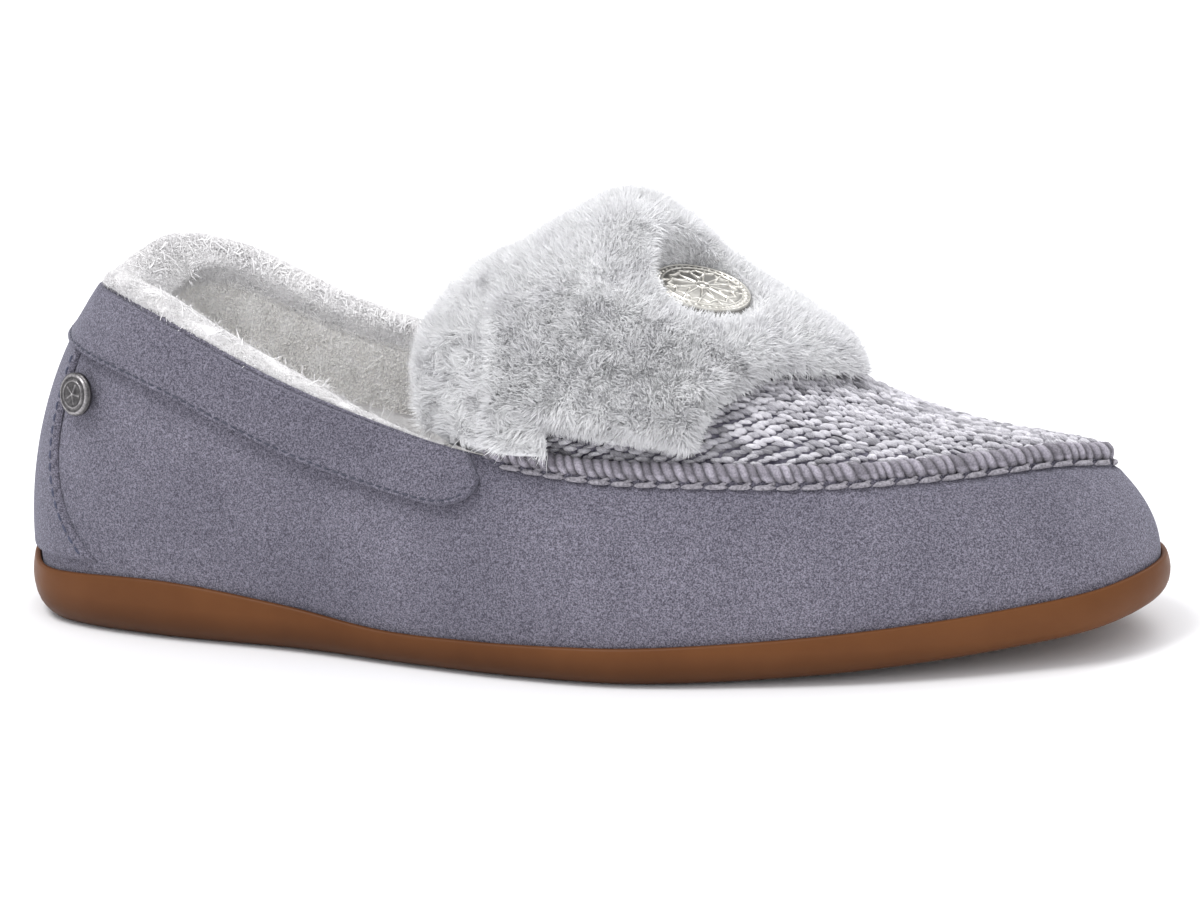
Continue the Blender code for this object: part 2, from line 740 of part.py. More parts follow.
def make_cuff():
    r, angle, x = cuff_grid(12, 19)
    base = PLUG_INSET - CUFF_CLEARANCE
    backing = arch(r, angle, base - CUFF_BACKING, -CUFF_CLEARANCE - CUFF_BACKING)
    backing_under = arch(r, angle, base, -CUFF_CLEARANCE)
    under = arch(r, angle, base - CUFF_BACKING - GAP, -CUFF_CLEARANCE - CUFF_BACKING - GAP)
    depth = cuff_thickness(x, angle)
    below_fur = CUFF_BACKING + GAP
    over = arch(r, angle, base - below_fur - depth, -CUFF_CLEARANCE - below_fur - depth)
    cloth = slab("cuff_backing", backing_under, backing, "backing")
    fur = slab("cuff_fur", under, over, "fur")
    return cloth, fur


def make_concho(cloth, fur):
    x = FOLD_SHARE * LENGTH + CONCHO_REACH
    middle = arch(np.array(station_at(x)), np.array(0.0))
    depth = float(cuff_thickness(x, np.array(0.0)))
    lift = CUFF_CLEARANCE + CUFF_BACKING + GAP + max(depth - CONCHO_SINK, LEAST_CONCHO_LIFT)
    place = np.array([x, middle[1], middle[2] + lift])
    behind, ahead = crest(np.array([x - CONCHO_RADIUS, x + CONCHO_RADIUS]))
    tilt = math.atan2(behind - ahead, 2 * CONCHO_RADIUS)
    normal = np.array([math.sin(tilt), CONCHO_ROLL, math.cos(tilt)])
    normal /= np.linalg.norm(normal)
    half, edge = CONCHO_THICK / 2, CONCHO_RADIUS
    profile = [(0, half + CONCHO_DOME), (0.6 * edge, half + 0.55 * CONCHO_DOME), (0.92 * edge, half)]
    profile += [(edge, half - CONCHO_BEVEL), (edge, -half), (0, -half)]
    pieces = [turned("concho", profile, place, normal, "silver")]
    seat = -half - GAP
    well = cylinder("concho_well", edge + 2 * GAP, seat, CUTTER_REACH, place, normal)
    hole = cylinder("concho_hole", POST_RADIUS + GAP, -CUTTER_REACH, CUTTER_REACH, place, normal)
    cut(fur, well)
    cut(fur, hole)
    cut(cloth, hole)
    reach = backing_distance(place, normal)
    foot = -reach - GAP - WASHER_THICK
    pieces.append(bar("concho_post", POST_RADIUS, foot, seat, place, normal, "silver"))
    washer = place - (reach + GAP + WASHER_THICK / 2) * normal
    pieces.append(burr("concho_washer", WASHER_RADIUS, washer, normal, "silver"))
    return pieces


def backing_distance(place, normal):
    """How far below place, along normal, the washer's rim clears the backing's underside."""
    down = np.linspace(0, CONCHO_SEARCH, 251)
    farthest = 0.0
    for side in (-WASHER_RADIUS, 0.0, WASHER_RADIUS):
        along = side * np.array([normal[2], 0.0, -normal[0]])
        path = place + along - down[:, None] * normal
        base = arch(station_at(path[:, 0]), np.zeros(len(down)))[:, 2] + CUFF_CLEARANCE
        farthest = max(farthest, np.interp(0, base - path[:, 2], down))
    return farthest + WASHER_RADIUS * (abs(normal[1]) + WASHER_RADIUS / BALL_WIDTH)


# Heel rivet.


def make_heel_rivet(wrap):
    t = np.array(float(backstay_edge(RIVET_LEVEL)) + RIVET_OFFSET)
    level = np.array(RIVET_LEVEL)
    base = skin(t, level)
    normal = (skin(t, level, MM) - base) / MM
    lift = LOOSE + SUEDE + GAP
    profile = [(0, RIVET_THICK), (0.7 * RIVET_RADIUS, 0.9 * RIVET_THICK)]
    profile += [(RIVET_RADIUS, 0.45 * RIVET_THICK), (RIVET_RADIUS, 0), (0, 0)]
    turned("heel_rivet_cap", profile, base + lift * normal, normal, "pewter")
    behind = SUEDE + GAP + RIVET_SEAT
    hole = cylinder("rivet_hole", POST_RADIUS + GAP, -RIVET_CUTTER, RIVET_CUTTER, base, normal)
    cut(wrap, hole)
    bar("heel_rivet_post", POST_RADIUS, -behind - WASHER_THICK, lift - GAP, base, normal, "pewter")
    burr("heel_rivet_burr", BURR_RADIUS, base - (behind + WASHER_THICK / 2) * normal, normal, "pewter")


# Assembly.


def hang_on_fold(pieces):
    """Parents the cuff's pieces to an empty on the fold, which is the line they turn about."""
    hinge = bpy.data.objects.new("cuff_fold_axis", None)
    hinge.location = fold_axis()
    parts.objects.link(hinge)
    bpy.context.view_layer.update()
    for piece in pieces:
        piece.parent = hinge
        piece.matrix_parent_inverse = hinge.matrix_world.inverted()


def stand_on_floor():
    """Moves everything so that the bottom centre of the whole shoe's box is the origin."""
    bpy.context.view_layer.update()
    graph = bpy.context.evaluated_depsgraph_get()
    corners = []
    for obj in parts.objects:
        if obj.type != "EMPTY":
            evaluated = obj.evaluated_get(graph)
            mesh = evaluated.to_mesh()
            corners += [evaluated.matrix_world @ vertex.co for vertex in mesh.vertices]
            evaluated.to_mesh_clear()
    corners = np.array(corners)
    low, high = corners.min(0), corners.max(0)
    shift = Vector((-(low[0] + high[0]) / 2, -(low[1] + high[1]) / 2, -low[2]))
    for obj in list(parts.objects) + list(cutters.objects):
        if obj.parent is None:
            obj.location += shift


def make_parts():
    make_outsole()
    floor = make_sole_fillings()
    wrap = make_wrap()
    make_heel_rivet(wrap)
    make_band()
    make_backstay()
    make_stiffeners()
    make_linings(floor)
    make_plug()
    make_ridge()
    make_tongue()
    cloth, fur = make_cuff()
    hang_on_fold([cloth, fur] + make_concho(cloth, fur))
    stand_on_floor()


clear_scene()
make_materials()
make_parts()
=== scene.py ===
"""Fluffy house slipper, right foot: suede moccasin with a gum sole, tweed plug and fold-over fur cuff."""

import json
import math

import bmesh
import bpy
import numpy as np
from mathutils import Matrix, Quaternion, Vector

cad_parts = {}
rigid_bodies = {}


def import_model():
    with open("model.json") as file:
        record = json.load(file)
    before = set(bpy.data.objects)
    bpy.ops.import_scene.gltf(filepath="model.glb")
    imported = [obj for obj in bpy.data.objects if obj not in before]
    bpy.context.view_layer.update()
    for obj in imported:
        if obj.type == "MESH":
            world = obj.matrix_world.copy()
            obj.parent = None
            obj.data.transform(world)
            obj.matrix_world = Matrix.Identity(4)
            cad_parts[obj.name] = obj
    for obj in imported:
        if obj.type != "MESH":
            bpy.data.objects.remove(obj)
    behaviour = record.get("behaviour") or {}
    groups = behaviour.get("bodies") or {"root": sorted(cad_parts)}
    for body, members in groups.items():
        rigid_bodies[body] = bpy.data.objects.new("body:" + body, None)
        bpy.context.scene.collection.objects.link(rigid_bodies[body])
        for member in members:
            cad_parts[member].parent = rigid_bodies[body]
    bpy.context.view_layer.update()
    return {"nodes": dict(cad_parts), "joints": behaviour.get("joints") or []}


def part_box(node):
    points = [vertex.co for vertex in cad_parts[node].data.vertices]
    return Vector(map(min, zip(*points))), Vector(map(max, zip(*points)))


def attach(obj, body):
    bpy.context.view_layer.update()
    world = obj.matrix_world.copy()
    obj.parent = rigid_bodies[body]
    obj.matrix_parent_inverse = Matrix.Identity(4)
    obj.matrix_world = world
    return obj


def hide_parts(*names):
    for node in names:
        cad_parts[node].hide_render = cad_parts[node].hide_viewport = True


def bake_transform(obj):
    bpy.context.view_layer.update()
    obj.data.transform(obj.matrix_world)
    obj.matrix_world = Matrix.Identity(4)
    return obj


for leftover in list(bpy.data.objects):
    bpy.data.objects.remove(leftover)
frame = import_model()

MM = 0.001

# ---------------------------------------------------------------------------------------------
# Studio: a white paper sweep, a big soft box above and to the left, a fill card in front, and a
# long lens that looks at the slipper's outer side from a little in front and above.
outsole_low, outsole_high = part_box("outsole")
LENGTH = outsole_high.x - outsole_low.x
ORIGIN = np.array([outsole_low.x, frame["joints"][0]["pos_m"][1], 0.0])
AIM = Vector((ORIGIN[0] + LENGTH / 2, ORIGIN[1], 40 * MM))
AZIMUTH, RISE, ROLL = math.radians(17.88), math.radians(16.66), math.radians(-2.98)
DISTANCE = 1.515

camera_data = bpy.data.cameras.new("camera")
camera_data.lens = 201.4
camera_data.sensor_width = 36
camera_data.shift_x = 0.0145
camera_data.shift_y = -0.0033
camera_data.clip_end = 30
camera = bpy.data.objects.new("camera", camera_data)
bpy.context.scene.collection.objects.link(camera)
toward = Vector((math.sin(AZIMUTH) * math.cos(RISE), -math.cos(AZIMUTH) * math.cos(RISE), math.sin(RISE)))
camera.location = AIM + DISTANCE * toward
camera.rotation_mode = "QUATERNION"
camera.rotation_quaternion = toward.to_track_quat("Z", "Y") @ Quaternion((0, 0, 1), ROLL)
bpy.context.scene.camera = camera
bpy.context.scene.view_settings.view_transform = "Standard"


def soft_box(name, place, size, power, color=(1, 1, 1)):
    """A square area light at place, facing the slipper."""
    data = bpy.data.lights.new(name, "AREA")
    data.size = size
    data.energy = power
    data.color = color
    light = bpy.data.objects.new(name, data)
    light.location = place
    light.rotation_mode = "QUATERNION"
    light.rotation_quaternion = (Vector(place) - AIM).to_track_quat("Z", "Y")
    bpy.context.scene.collection.objects.link(light)


soft_box("key", (-0.6, -0.6, 1.7), 0.7, 17)
soft_box("fill", (1.0, -1.3, 0.6), 1.2, 1.5)
soft_box("back", (0.3, 1.0, 1.4), 1.0, 9)
world = bpy.data.worlds.new("studio")
bpy.context.scene.world = world
world.use_nodes = True
world.node_tree.nodes["Background"].inputs["Color"].default_value = (0.97, 0.975, 1.0, 1)
world.node_tree.nodes["Background"].inputs["Strength"].default_value = 0.95


class Finish:
    """A node material around one Principled shader; feed() fills its own sockets."""

    def __init__(self, name, **sockets):
        self.material = bpy.data.materials.new(name)
        self.material.use_nodes = True
        self.tree = self.material.node_tree
        self.shader = self.tree.nodes["Principled BSDF"]
        self.place = self.node("ShaderNodeTexCoord").outputs["Object"]
        for socket, value in sockets.items():
            self.shader.inputs[socket.replace("_", " ")].default_value = value

    def node(self, kind, inputs=None, **settings):
        made = self.tree.nodes.new(kind)
        for key, value in settings.items():
            setattr(made, key, value)
        for key, value in (inputs or {}).items():
            if isinstance(value, bpy.types.NodeSocket):
                self.tree.links.new(value, made.inputs[key])
            else:
                made.inputs[key].default_value = value
        return made

    def noise(self, scale, detail=3, roughness=0.5, vector=None):
        inputs = {"Vector": vector or self.place, "Scale": scale, "Detail": detail, "Roughness": roughness}
        return self.node("ShaderNodeTexNoise", inputs).outputs["Fac"]

    def ramp(self, factor, stops):
        """A colour ramp through (position, colour) stops."""
        made = self.node("ShaderNodeValToRGB", {"Fac": factor})
        points = made.color_ramp.elements
        while len(points) < len(stops):
            points.new(0.5)
        for point, (position, color) in zip(points, stops):
            point.position = position
            point.color = (*color, 1)
        return made.outputs["Color"]

    def mix(self, factor, first, second, mode="MIX"):
        made = self.node("ShaderNodeMix", data_type="RGBA", blend_type=mode)
        for index, value in ((0, factor), (6, first), (7, second)):
            if isinstance(value, bpy.types.NodeSocket):
                self.tree.links.new(value, made.inputs[index])
            else:
                made.inputs[index].default_value = value if index == 0 else (*value, 1)
        return made.outputs[2]

    def bump(self, height, strength, distance, below=None):
        inputs = {"Height": height, "Strength": strength, "Distance": distance}
        if below is not None:
            inputs["Normal"] = below
        return self.node("ShaderNodeBump", inputs).outputs["Normal"]

    def attribute(self, name):
        return self.node("ShaderNodeAttribute", attribute_name=name).outputs["Color"]

    def wear(self, obj):
        obj.data.materials.clear()
        obj.data.materials.append(self.material)
        return obj

    def feed(self, **links):
        for socket, output in links.items():
            self.tree.links.new(output, self.shader.inputs[socket.replace("_", " ")])
        return self


def grid_faces(rows, columns, close_rows=False, close_columns=False):
    """Corner numbers of the quads of a rows x columns grid; a closed direction joins its ends."""
    i = np.arange(rows if close_rows else rows - 1)[:, None]
    j = np.arange(columns if close_columns else columns - 1)[None, :]
    i2, j2 = (i + 1) % rows, (j + 1) % columns
    corners = [i * columns + j, i2 * columns + j, i2 * columns + j2, i * columns + j2]
    return np.stack([np.broadcast_to(c, (i.size, j.size)).ravel() for c in corners], 1)


def mesh_of(name, points, faces, tone=None, smooth_shade=True):
    """A mesh object from arrays of points and faces (triangles or quads); tone is a grey per vertex."""
    mesh = bpy.data.meshes.new(name)
    sides = faces.shape[1]
    mesh.vertices.add(len(points))
    mesh.vertices.foreach_set("co", (points + ORIGIN).astype(np.float32).ravel())
    mesh.loops.add(faces.size)
    mesh.loops.foreach_set("vertex_index", faces.astype(np.int32).ravel())
    mesh.polygons.add(len(faces))
    mesh.polygons.foreach_set("loop_start", np.arange(0, faces.size, sides, dtype=np.int32))
    mesh.polygons.foreach_set("use_smooth", np.full(len(faces), smooth_shade))
    if tone is not None:
        layer = mesh.color_attributes.new("tone", "FLOAT_COLOR", "POINT")
        rgba = np.ones((len(points), 4), np.float32)
        rgba[:, :3] = tone if np.ndim(tone) == 2 else np.asarray(tone)[:, None]
        layer.data.foreach_set("color", rgba.ravel())
    mesh.update(calc_edges=True)
    obj = bpy.data.objects.new(name, mesh)
    bpy.context.scene.collection.objects.link(obj)
    return obj


def tidy(obj, outward=True):
    """Merges doubled points and, on a closed shape, turns its faces outwards."""
    bm = bmesh.new()
    bm.from_mesh(obj.data)
    bmesh.ops.remove_doubles(bm, verts=bm.verts, dist=1e-6)
    if outward:
        bmesh.ops.recalc_face_normals(bm, faces=bm.faces)
    bm.to_mesh(obj.data)
    bm.free()
    return obj


paper = Finish("white_paper", Base_Color=(0.93, 0.93, 0.94, 1), Roughness=1.0)
paper.feed(Normal=paper.bump(paper.noise(900), 0.05, 0.0002))
across, along = np.meshgrid(np.linspace(-3, 3, 7), np.linspace(-3, 3, 7))
sweep = np.stack([along.ravel(), across.ravel(), np.zeros(49)], 1) - ORIGIN
floor = paper.wear(mesh_of("floor", sweep, grid_faces(7, 7)))


# ---------------------------------------------------------------------------------------------
# The last: one surface that every layer of the upper follows. Each row of STATIONS is a place on
# the sole's edge and the place on the top edge above it, on the outer and on the inner side.
HEEL_WIDTH, WAIST_WIDTH, BALL_WIDTH = 68 * MM, 71 * MM, 96 * MM
HEEL_HEIGHT, SEAM_HEIGHT, INSTEP_HEIGHT = 77 * MM, 45 * MM, 80 * MM
STATIONS = (
    # sole x, width, outer, inner,      top x, outer, inner, outer height, inner height
    (0.000, HEEL_WIDTH, 0.000, 0.000, 0.086, 0.000, 0.000, 0.975, 0.975),
    (0.021, HEEL_WIDTH, 0.280, 0.280, 0.095, 0.162, 0.162, 1.000, 1.000),
    (0.068, HEEL_WIDTH, 0.412, 0.412, 0.115, 0.309, 0.309, 1.023, 1.018),
    (0.158, HEEL_WIDTH, 0.500, 0.478, 0.169, 0.434, 0.426, 0.974, 0.956),
    (0.282, WAIST_WIDTH, 0.535, 0.465, 0.271, 0.465, 0.444, 0.812, 0.786),
    (0.395, WAIST_WIDTH, 0.627, 0.479, 0.365, 0.493, 0.472, 0.701, 0.684),
    (0.489, BALL_WIDTH, 0.510, 0.385, 0.447, 0.380, 0.370, 1.078, 1.060),
    (0.583, BALL_WIDTH, 0.526, 0.427, 0.549, 0.408, 0.388, 1.013, 0.970),
    (0.692, BALL_WIDTH, 0.479, 0.470, 0.658, 0.398, 0.388, 1.004, 0.910),
    (0.789, BALL_WIDTH, 0.411, 0.455, 0.752, 0.328, 0.350, 0.982, 0.850),
    (0.887, BALL_WIDTH, 0.300, 0.386, 0.838, 0.192, 0.285, 0.956, 0.805),
    (0.966, BALL_WIDTH, 0.165, 0.262, 0.914, 0.030, 0.200, 0.933, 0.810),
    (1.000, BALL_WIDTH, -0.060, 0.060, 0.949, -0.095, 0.095, 0.870, 0.870),
)
HALF_TURN = len(STATIONS) - 1
FULL_TURN = 2 * HALF_TURN
THROAT = 6
UP = np.array([0.0, 0.0, 1.0])


def smooth(places, values, x):
    """Cubic Hermite curve through (places, values), with central differences as its slopes."""
    places, values = np.asarray(places, float), np.asarray(values, float)
    slopes = np.gradient(values, places)
    x = np.clip(x, places[0], places[-1])
    k = np.clip(np.searchsorted(places, x, side="right") - 1, 0, len(places) - 2)
    step = places[k + 1] - places[k]
    s, rise = (x - places[k]) / step, values[k + 1] - values[k]
    start, end = slopes[k] * step, slopes[k + 1] * step
    return values[k] + s * start + s**2 * (3 * rise - 2 * start - end) + s**3 * (start + end - 2 * rise)


def loop_through(knots, t):
    """Closed curve through knots at t = 0, 1, 2..., each segment a Catmull-Rom cubic."""
    knots, t = np.asarray(knots, float), np.asarray(t, float)
    k = np.floor(t).astype(int)
    s = (t - k)[..., None]
    before, start, end, after = (knots[(k + shift) % len(knots)] for shift in (-1, 0, 1, 2))
    bend = 2 * before - 5 * start + 4 * end - after
    twist = 3 * start - before - 3 * end + after
    return 0.5 * (2 * start + s * (end - before) + s**2 * bend + s**3 * twist)


def all_round(outer_side, inner_side):
    """Knots of a closed curve: the outer side from heel to toe, then the inner side back to the heel."""
    return outer_side + inner_side[-2:0:-1]


def height_of(row, share):
    return share * (HEEL_HEIGHT if row[1] != BALL_WIDTH else SEAM_HEIGHT)


SOLE_KNOTS = all_round(
    [(LENGTH * row[0], -row[2] * row[1], 0.0) for row in STATIONS],
    [(LENGTH * row[0], row[3] * row[1], 0.0) for row in STATIONS],
)
TOP_KNOTS = all_round(
    [(LENGTH * row[4], -row[5] * row[1], height_of(row, row[7])) for row in STATIONS],
    [(LENGTH * row[4], row[6] * row[1], height_of(row, row[8])) for row in STATIONS],
)


def unit(vectors):
    return vectors / np.maximum(np.linalg.norm(vectors, axis=-1, keepdims=True), 1e-9)


def sole_edge(t, inset=0.0):
    """Points (x, y) of the sole's outline, moved inwards by inset."""
    along = loop_through(SOLE_KNOTS, t + 0.02) - loop_through(SOLE_KNOTS, t - 0.02)
    inward = unit(np.stack([-along[..., 1], along[..., 0]], -1))
    return loop_through(SOLE_KNOTS, t)[..., :2] + np.asarray(inset)[..., None] * inward


def ground(x):
    """Height of the tread: flat from heel to ball, curving up at the toe and a little at the heel."""
    ball, heel = 0.564 * LENGTH, 0.056 * LENGTH
    toe_part = np.clip((x - ball) / (LENGTH - ball), 0, None) ** 1.8
    return 8.4 * MM * toe_part + 1.8 * MM * np.clip((heel - x) / heel, 0, None) ** 2


def rim(x):
    """Height of the cup sole's rim: thick at the heel, thin at the waist."""
    shares = np.array([0.0, 0.17, 0.27, 0.36, 0.45, 0.56, 0.75, 1.0])
    walls = np.array([12.04, 14, 11.05, 8.1, 8.1, 8.95, 9.8, 9.8]) * MM
    return ground(x) + smooth(shares * LENGTH, walls, x)


UPPER_INSET = 2.4 * MM


def upper(t, v):
    """The suede's outer face: a cubic Bezier from inside the rim (v = 0) to the top edge (v = 1)."""
    foot_xy = sole_edge(t, UPPER_INSET)
    foot = np.concatenate([foot_xy, (rim(foot_xy[..., 0]) - 2.4 * MM)[..., None]], -1)
    top = loop_through(TOP_KNOTS, t)
    rise = (top - foot)[..., 2:]
    swell = np.concatenate([sole_edge(t, UPPER_INSET - 1.6 * MM), foot[..., 2:]], -1)
    low = swell + 0.38 * rise * UP
    high = top + 0.65 * (foot - top) * np.array([1.0, 1.0, 0.0]) - 0.24 * rise * UP
    v = np.asarray(v, float)[..., None]
    w = 1 - v
    return w**3 * foot + 3 * w**2 * v * low + 3 * w * v**2 * high + v**3 * top


def upper_normal(t, v):
    along = upper(t + 0.01, v) - upper(t - 0.01, v)
    return unit(np.cross(along, upper(t, v + 0.01) - upper(t, v - 0.01)))


def skin(t, v, lift=0.0):
    """A point on the upper's face, moved out along the face's normal by lift."""
    return upper(t, v) + np.asarray(lift)[..., None] * upper_normal(t, v)


def down_from_top(t, distance):
    """The value of v at a distance below the top edge, measured along the face."""
    v = np.linspace(1.3, 0, 131)
    points = upper(t[:, None] + 0 * v, v + 0 * t[:, None])
    run = np.cumsum(np.linalg.norm(np.diff(points, axis=1, prepend=points[:, :1]), axis=2), 1)
    goal = np.broadcast_to(distance, t.shape) + run[:, 30]
    return np.array([np.interp(g, row, v) for g, row in zip(goal, run)])


def crest(x):
    """Height of the instep's centre line, falling from the fold of the cuff to the toe."""
    shares = (0.36, 0.443, 0.508, 0.564, 0.62, 0.65, 0.692, 0.722, 0.752, 0.793, 0.835, 0.876, 0.917, 0.95)
    drops = (-2.5, 0, 2.5, 6, 10.6, 14, 18.4, 21.6, 25.2, 29.3, 32.2, 34.2, 35.8, 37.5)
    return INSTEP_HEIGHT - MM * smooth(np.array(shares) * LENGTH, drops, x)


def arch(r, angle, inset=0.0, drop=0.0):
    """The instep: half ellipses between the top edges at station r, with the crest in between."""
    outer, inner = loop_through(TOP_KNOTS, r), loop_through(TOP_KNOTS, FULL_TURN - r)
    middle, half = (outer + inner) / 2, (inner - outer) / 2
    width = np.linalg.norm(half, axis=-1, keepdims=True)
    half = half * (width - np.asarray(inset)[..., None]) / width
    rise = (crest(middle[..., 0]) - middle[..., 2] - drop)[..., None]
    return middle + half * np.sin(angle)[..., None] + rise * np.cos(angle)[..., None] * UP


def station_at(x):
    """The station number at which the arch's middle is at x."""
    r = np.linspace(3, HALF_TURN, 400)
    middle = (loop_through(TOP_KNOTS, r) + loop_through(TOP_KNOTS, FULL_TURN - r))[:, 0] / 2
    return np.interp(x, middle, r)


def lumps(points, size, seed):
    """Smooth noise from -1 to 1: random values on a lattice of the given size, blended between."""
    lattice = np.random.default_rng(seed).uniform(-1, 1, (32, 32, 32))
    q = points / size + 16.0
    k = np.floor(q).astype(int)
    f = q - k
    f = f * f * (3 - 2 * f)
    total = 0
    for corner in np.ndindex(2, 2, 2):
        weight = np.prod(np.where(np.array(corner), f, 1 - f), axis=-1)
        x, y, z = ((k[..., axis] + corner[axis]) % 32 for axis in range(3))
        total = total + weight * lattice[x, y, z]
    return total


# ---------------------------------------------------------------------------------------------
# Outsole: one moulded cup of gum rubber. Its wall leans in a little to the rim and rounds under
# to the tread, which has shallow moulded wave grooves. The suede goes down inside the rim.
AROUND = np.arange(0, FULL_TURN, 1 / 14)
WALL_PROFILE = (
    (5.0, 0.0), (4.2, 0.01), (3.3, 0.04), (2.4, 0.09), (1.6, 0.16), (0.9, 0.25), (0.35, 0.37),
    (0.08, 0.5), (0.0, 0.62), (0.1, 0.74), (0.35, 0.86), (0.6, 0.95), (0.8, 0.99), (1.1, 1.0),
    (1.7, 1.0), (2.0, 0.97), (2.1, 0.8), (2.1, 0.5),
)


def sole_rings():
    """Rings of the cup: each is the outline drawn in by its inset, at its share of the wall's height."""
    rings = []
    for inset, share in WALL_PROFILE:
        edge = sole_edge(AROUND, inset * MM)
        height = ground(edge[:, 0]) + share * (rim(edge[:, 0]) - ground(edge[:, 0]))
        rings.append(np.column_stack([edge, height]))
    return np.array(rings)


def ladder(ring, columns):
    """Rungs across a ring from its outer to its inner side, each a straight row of points."""
    half = len(ring) // 2
    outer, inner = ring[: half + 1], ring[-np.arange(half + 1) % len(ring)]
    share = np.linspace(0, 1, columns)[None, :, None]
    return outer[:, None] * (1 - share) + inner[:, None] * share


def joined(pieces):
    """Points and faces of several (points, faces) pieces as one."""
    offset, points, faces = 0, [], []
    for more_points, more_faces in pieces:
        points.append(more_points.reshape(-1, 3))
        faces.append(more_faces + offset)
        offset += len(points[-1])
    return np.concatenate(points), np.concatenate(faces)


rings = sole_rings()
tread = ladder(rings[0], 61)
groove = np.sin(tread[..., 0] / (1.9 * MM) + 1.6 * np.sin(tread[..., 1] / (5.5 * MM)))
border = np.clip(np.minimum(np.arange(61), 60 - np.arange(61)) / 5.0 - 0.6, 0, 1)
ends = np.clip(np.minimum(np.arange(len(tread)), len(tread) - 1 - np.arange(len(tread))) / 6.0 - 0.6, 0, 1)
tread[..., 2] = ground(tread[..., 0])
tread[..., 2] += 0.7 * MM * np.clip(groove - 0.35, 0, 1) * border[None, :] * ends[:, None]
inside = ladder(rings[-1], 3)
points, faces = joined([
    (rings, grid_faces(*rings.shape[:2], close_columns=True)),
    (tread, grid_faces(*tread.shape[:2])),
    (inside, grid_faces(*inside.shape[:2])),
])
outsole = tidy(mesh_of("outsole_cup", points, faces))
rubber = Finish("gum_rubber", Roughness=0.42, Specular_IOR_Level=0.16)
speckle = rubber.noise(260, 4, 0.6)
# Painted shade: the rubber's colour is darkened towards the ground, over about the lowest 8 mm of the wall.
height_on_wall = rubber.node("ShaderNodeSeparateXYZ", {"Vector": rubber.place}).outputs["Z"]
up_the_wall = {"Value": height_on_wall, "From Min": 0.0, "From Max": 0.012}
painted_low_shade = rubber.ramp(
    rubber.node("ShaderNodeMapRange", up_the_wall).outputs[0],
    [(0.0, (0.42, 0.40, 0.38)), (0.7, (1.0, 1.0, 1.0))],
)
gum = rubber.ramp(rubber.noise(28, 4, 0.6), [(0.3, (0.105, 0.036, 0.010)), (0.7, (0.145, 0.053, 0.016))])
gloss = {"Value": speckle, "To Min": 0.36, "To Max": 0.55}
rubber.feed(
    Base_Color=rubber.mix(1.0, gum, painted_low_shade, "MULTIPLY"),
    Roughness=rubber.node("ShaderNodeMapRange", gloss).outputs[0],
    Normal=rubber.bump(speckle, 0.12, 0.0003),
)
rubber.wear(outsole)
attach(outsole, "root")
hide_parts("outsole")


# ---------------------------------------------------------------------------------------------
# Suede wrap: one piece of split suede from the heel seam round the toe, 1.4 mm thick. Its nap
# catches the light in cloudy patches, and it puckers slightly under the stitches of the seam.
SUEDE = 1.4 * MM
CHAIN_PITCH = 5.3 * MM


def top_run(samples=4001):
    """Arc length along the top edge, as a table from t to metres."""
    t = np.linspace(0, FULL_TURN, samples)
    step = np.linalg.norm(np.diff(loop_through(TOP_KNOTS, t), axis=0), axis=1)
    return t, np.concatenate([[0], np.cumsum(step)])


RUN_T, RUN = top_run()


def sheet_ring(t, levels, lift, depth, inner_levels=14, rounding=6):
    """A closed ring of sheet: up the outer face, over a rounded top edge and down the inner face."""
    outer = skin(t[:, None] + 0 * levels, levels + 0 * t[:, None], lift)
    turn = np.linspace(0, np.pi, rounding + 2)[1:-1]
    top = t[:, None] + 0 * turn
    side = skin(top, np.full_like(top, levels[-1]), -depth / 2 + depth / 2 * np.cos(turn))
    across = unit(np.gradient(skin(t[:, None] + 0 * levels, levels + 0 * t[:, None]), axis=1)[:, -1])
    edge = side + depth / 2 * np.sin(turn)[None, :, None] * across[:, None]
    down = np.linspace(levels[-1], levels[0], inner_levels)
    inner = skin(t[:, None] + 0 * down, down + 0 * t[:, None], -depth)
    return np.concatenate([outer, edge, inner], 1)


t = np.arange(0, FULL_TURN, 1 / 30)
levels = 1 - np.linspace(1, 0, 56) ** 1.15
front = np.clip((np.minimum(t, FULL_TURN - t) - THROAT) / 0.4, 0, 1)
pucker = np.cos(2 * np.pi * np.interp(t, RUN_T, RUN) / CHAIN_PITCH)
base = upper(t[:, None] + 0 * levels, levels + 0 * t[:, None])
below_top = np.linalg.norm(base - base[:, -1:], axis=2)
lift = 0.22 * MM * (front * pucker)[:, None] * np.exp(-((below_top / (4 * MM)) ** 2))
lift -= 0.5 * MM * front[:, None] * np.exp(-(((below_top - 1.7 * MM) / (1.2 * MM)) ** 2))
lift += 0.25 * MM * lumps(base, 17 * MM, 3) * np.clip(levels * 4, 0, 1) * np.clip((1 - levels) * 6, 0, 1)
ring = sheet_ring(t, levels, lift, SUEDE)
wrap = tidy(mesh_of("suede_wrap_skin", ring.reshape(-1, 3), grid_faces(*ring.shape[:2], True, True)))


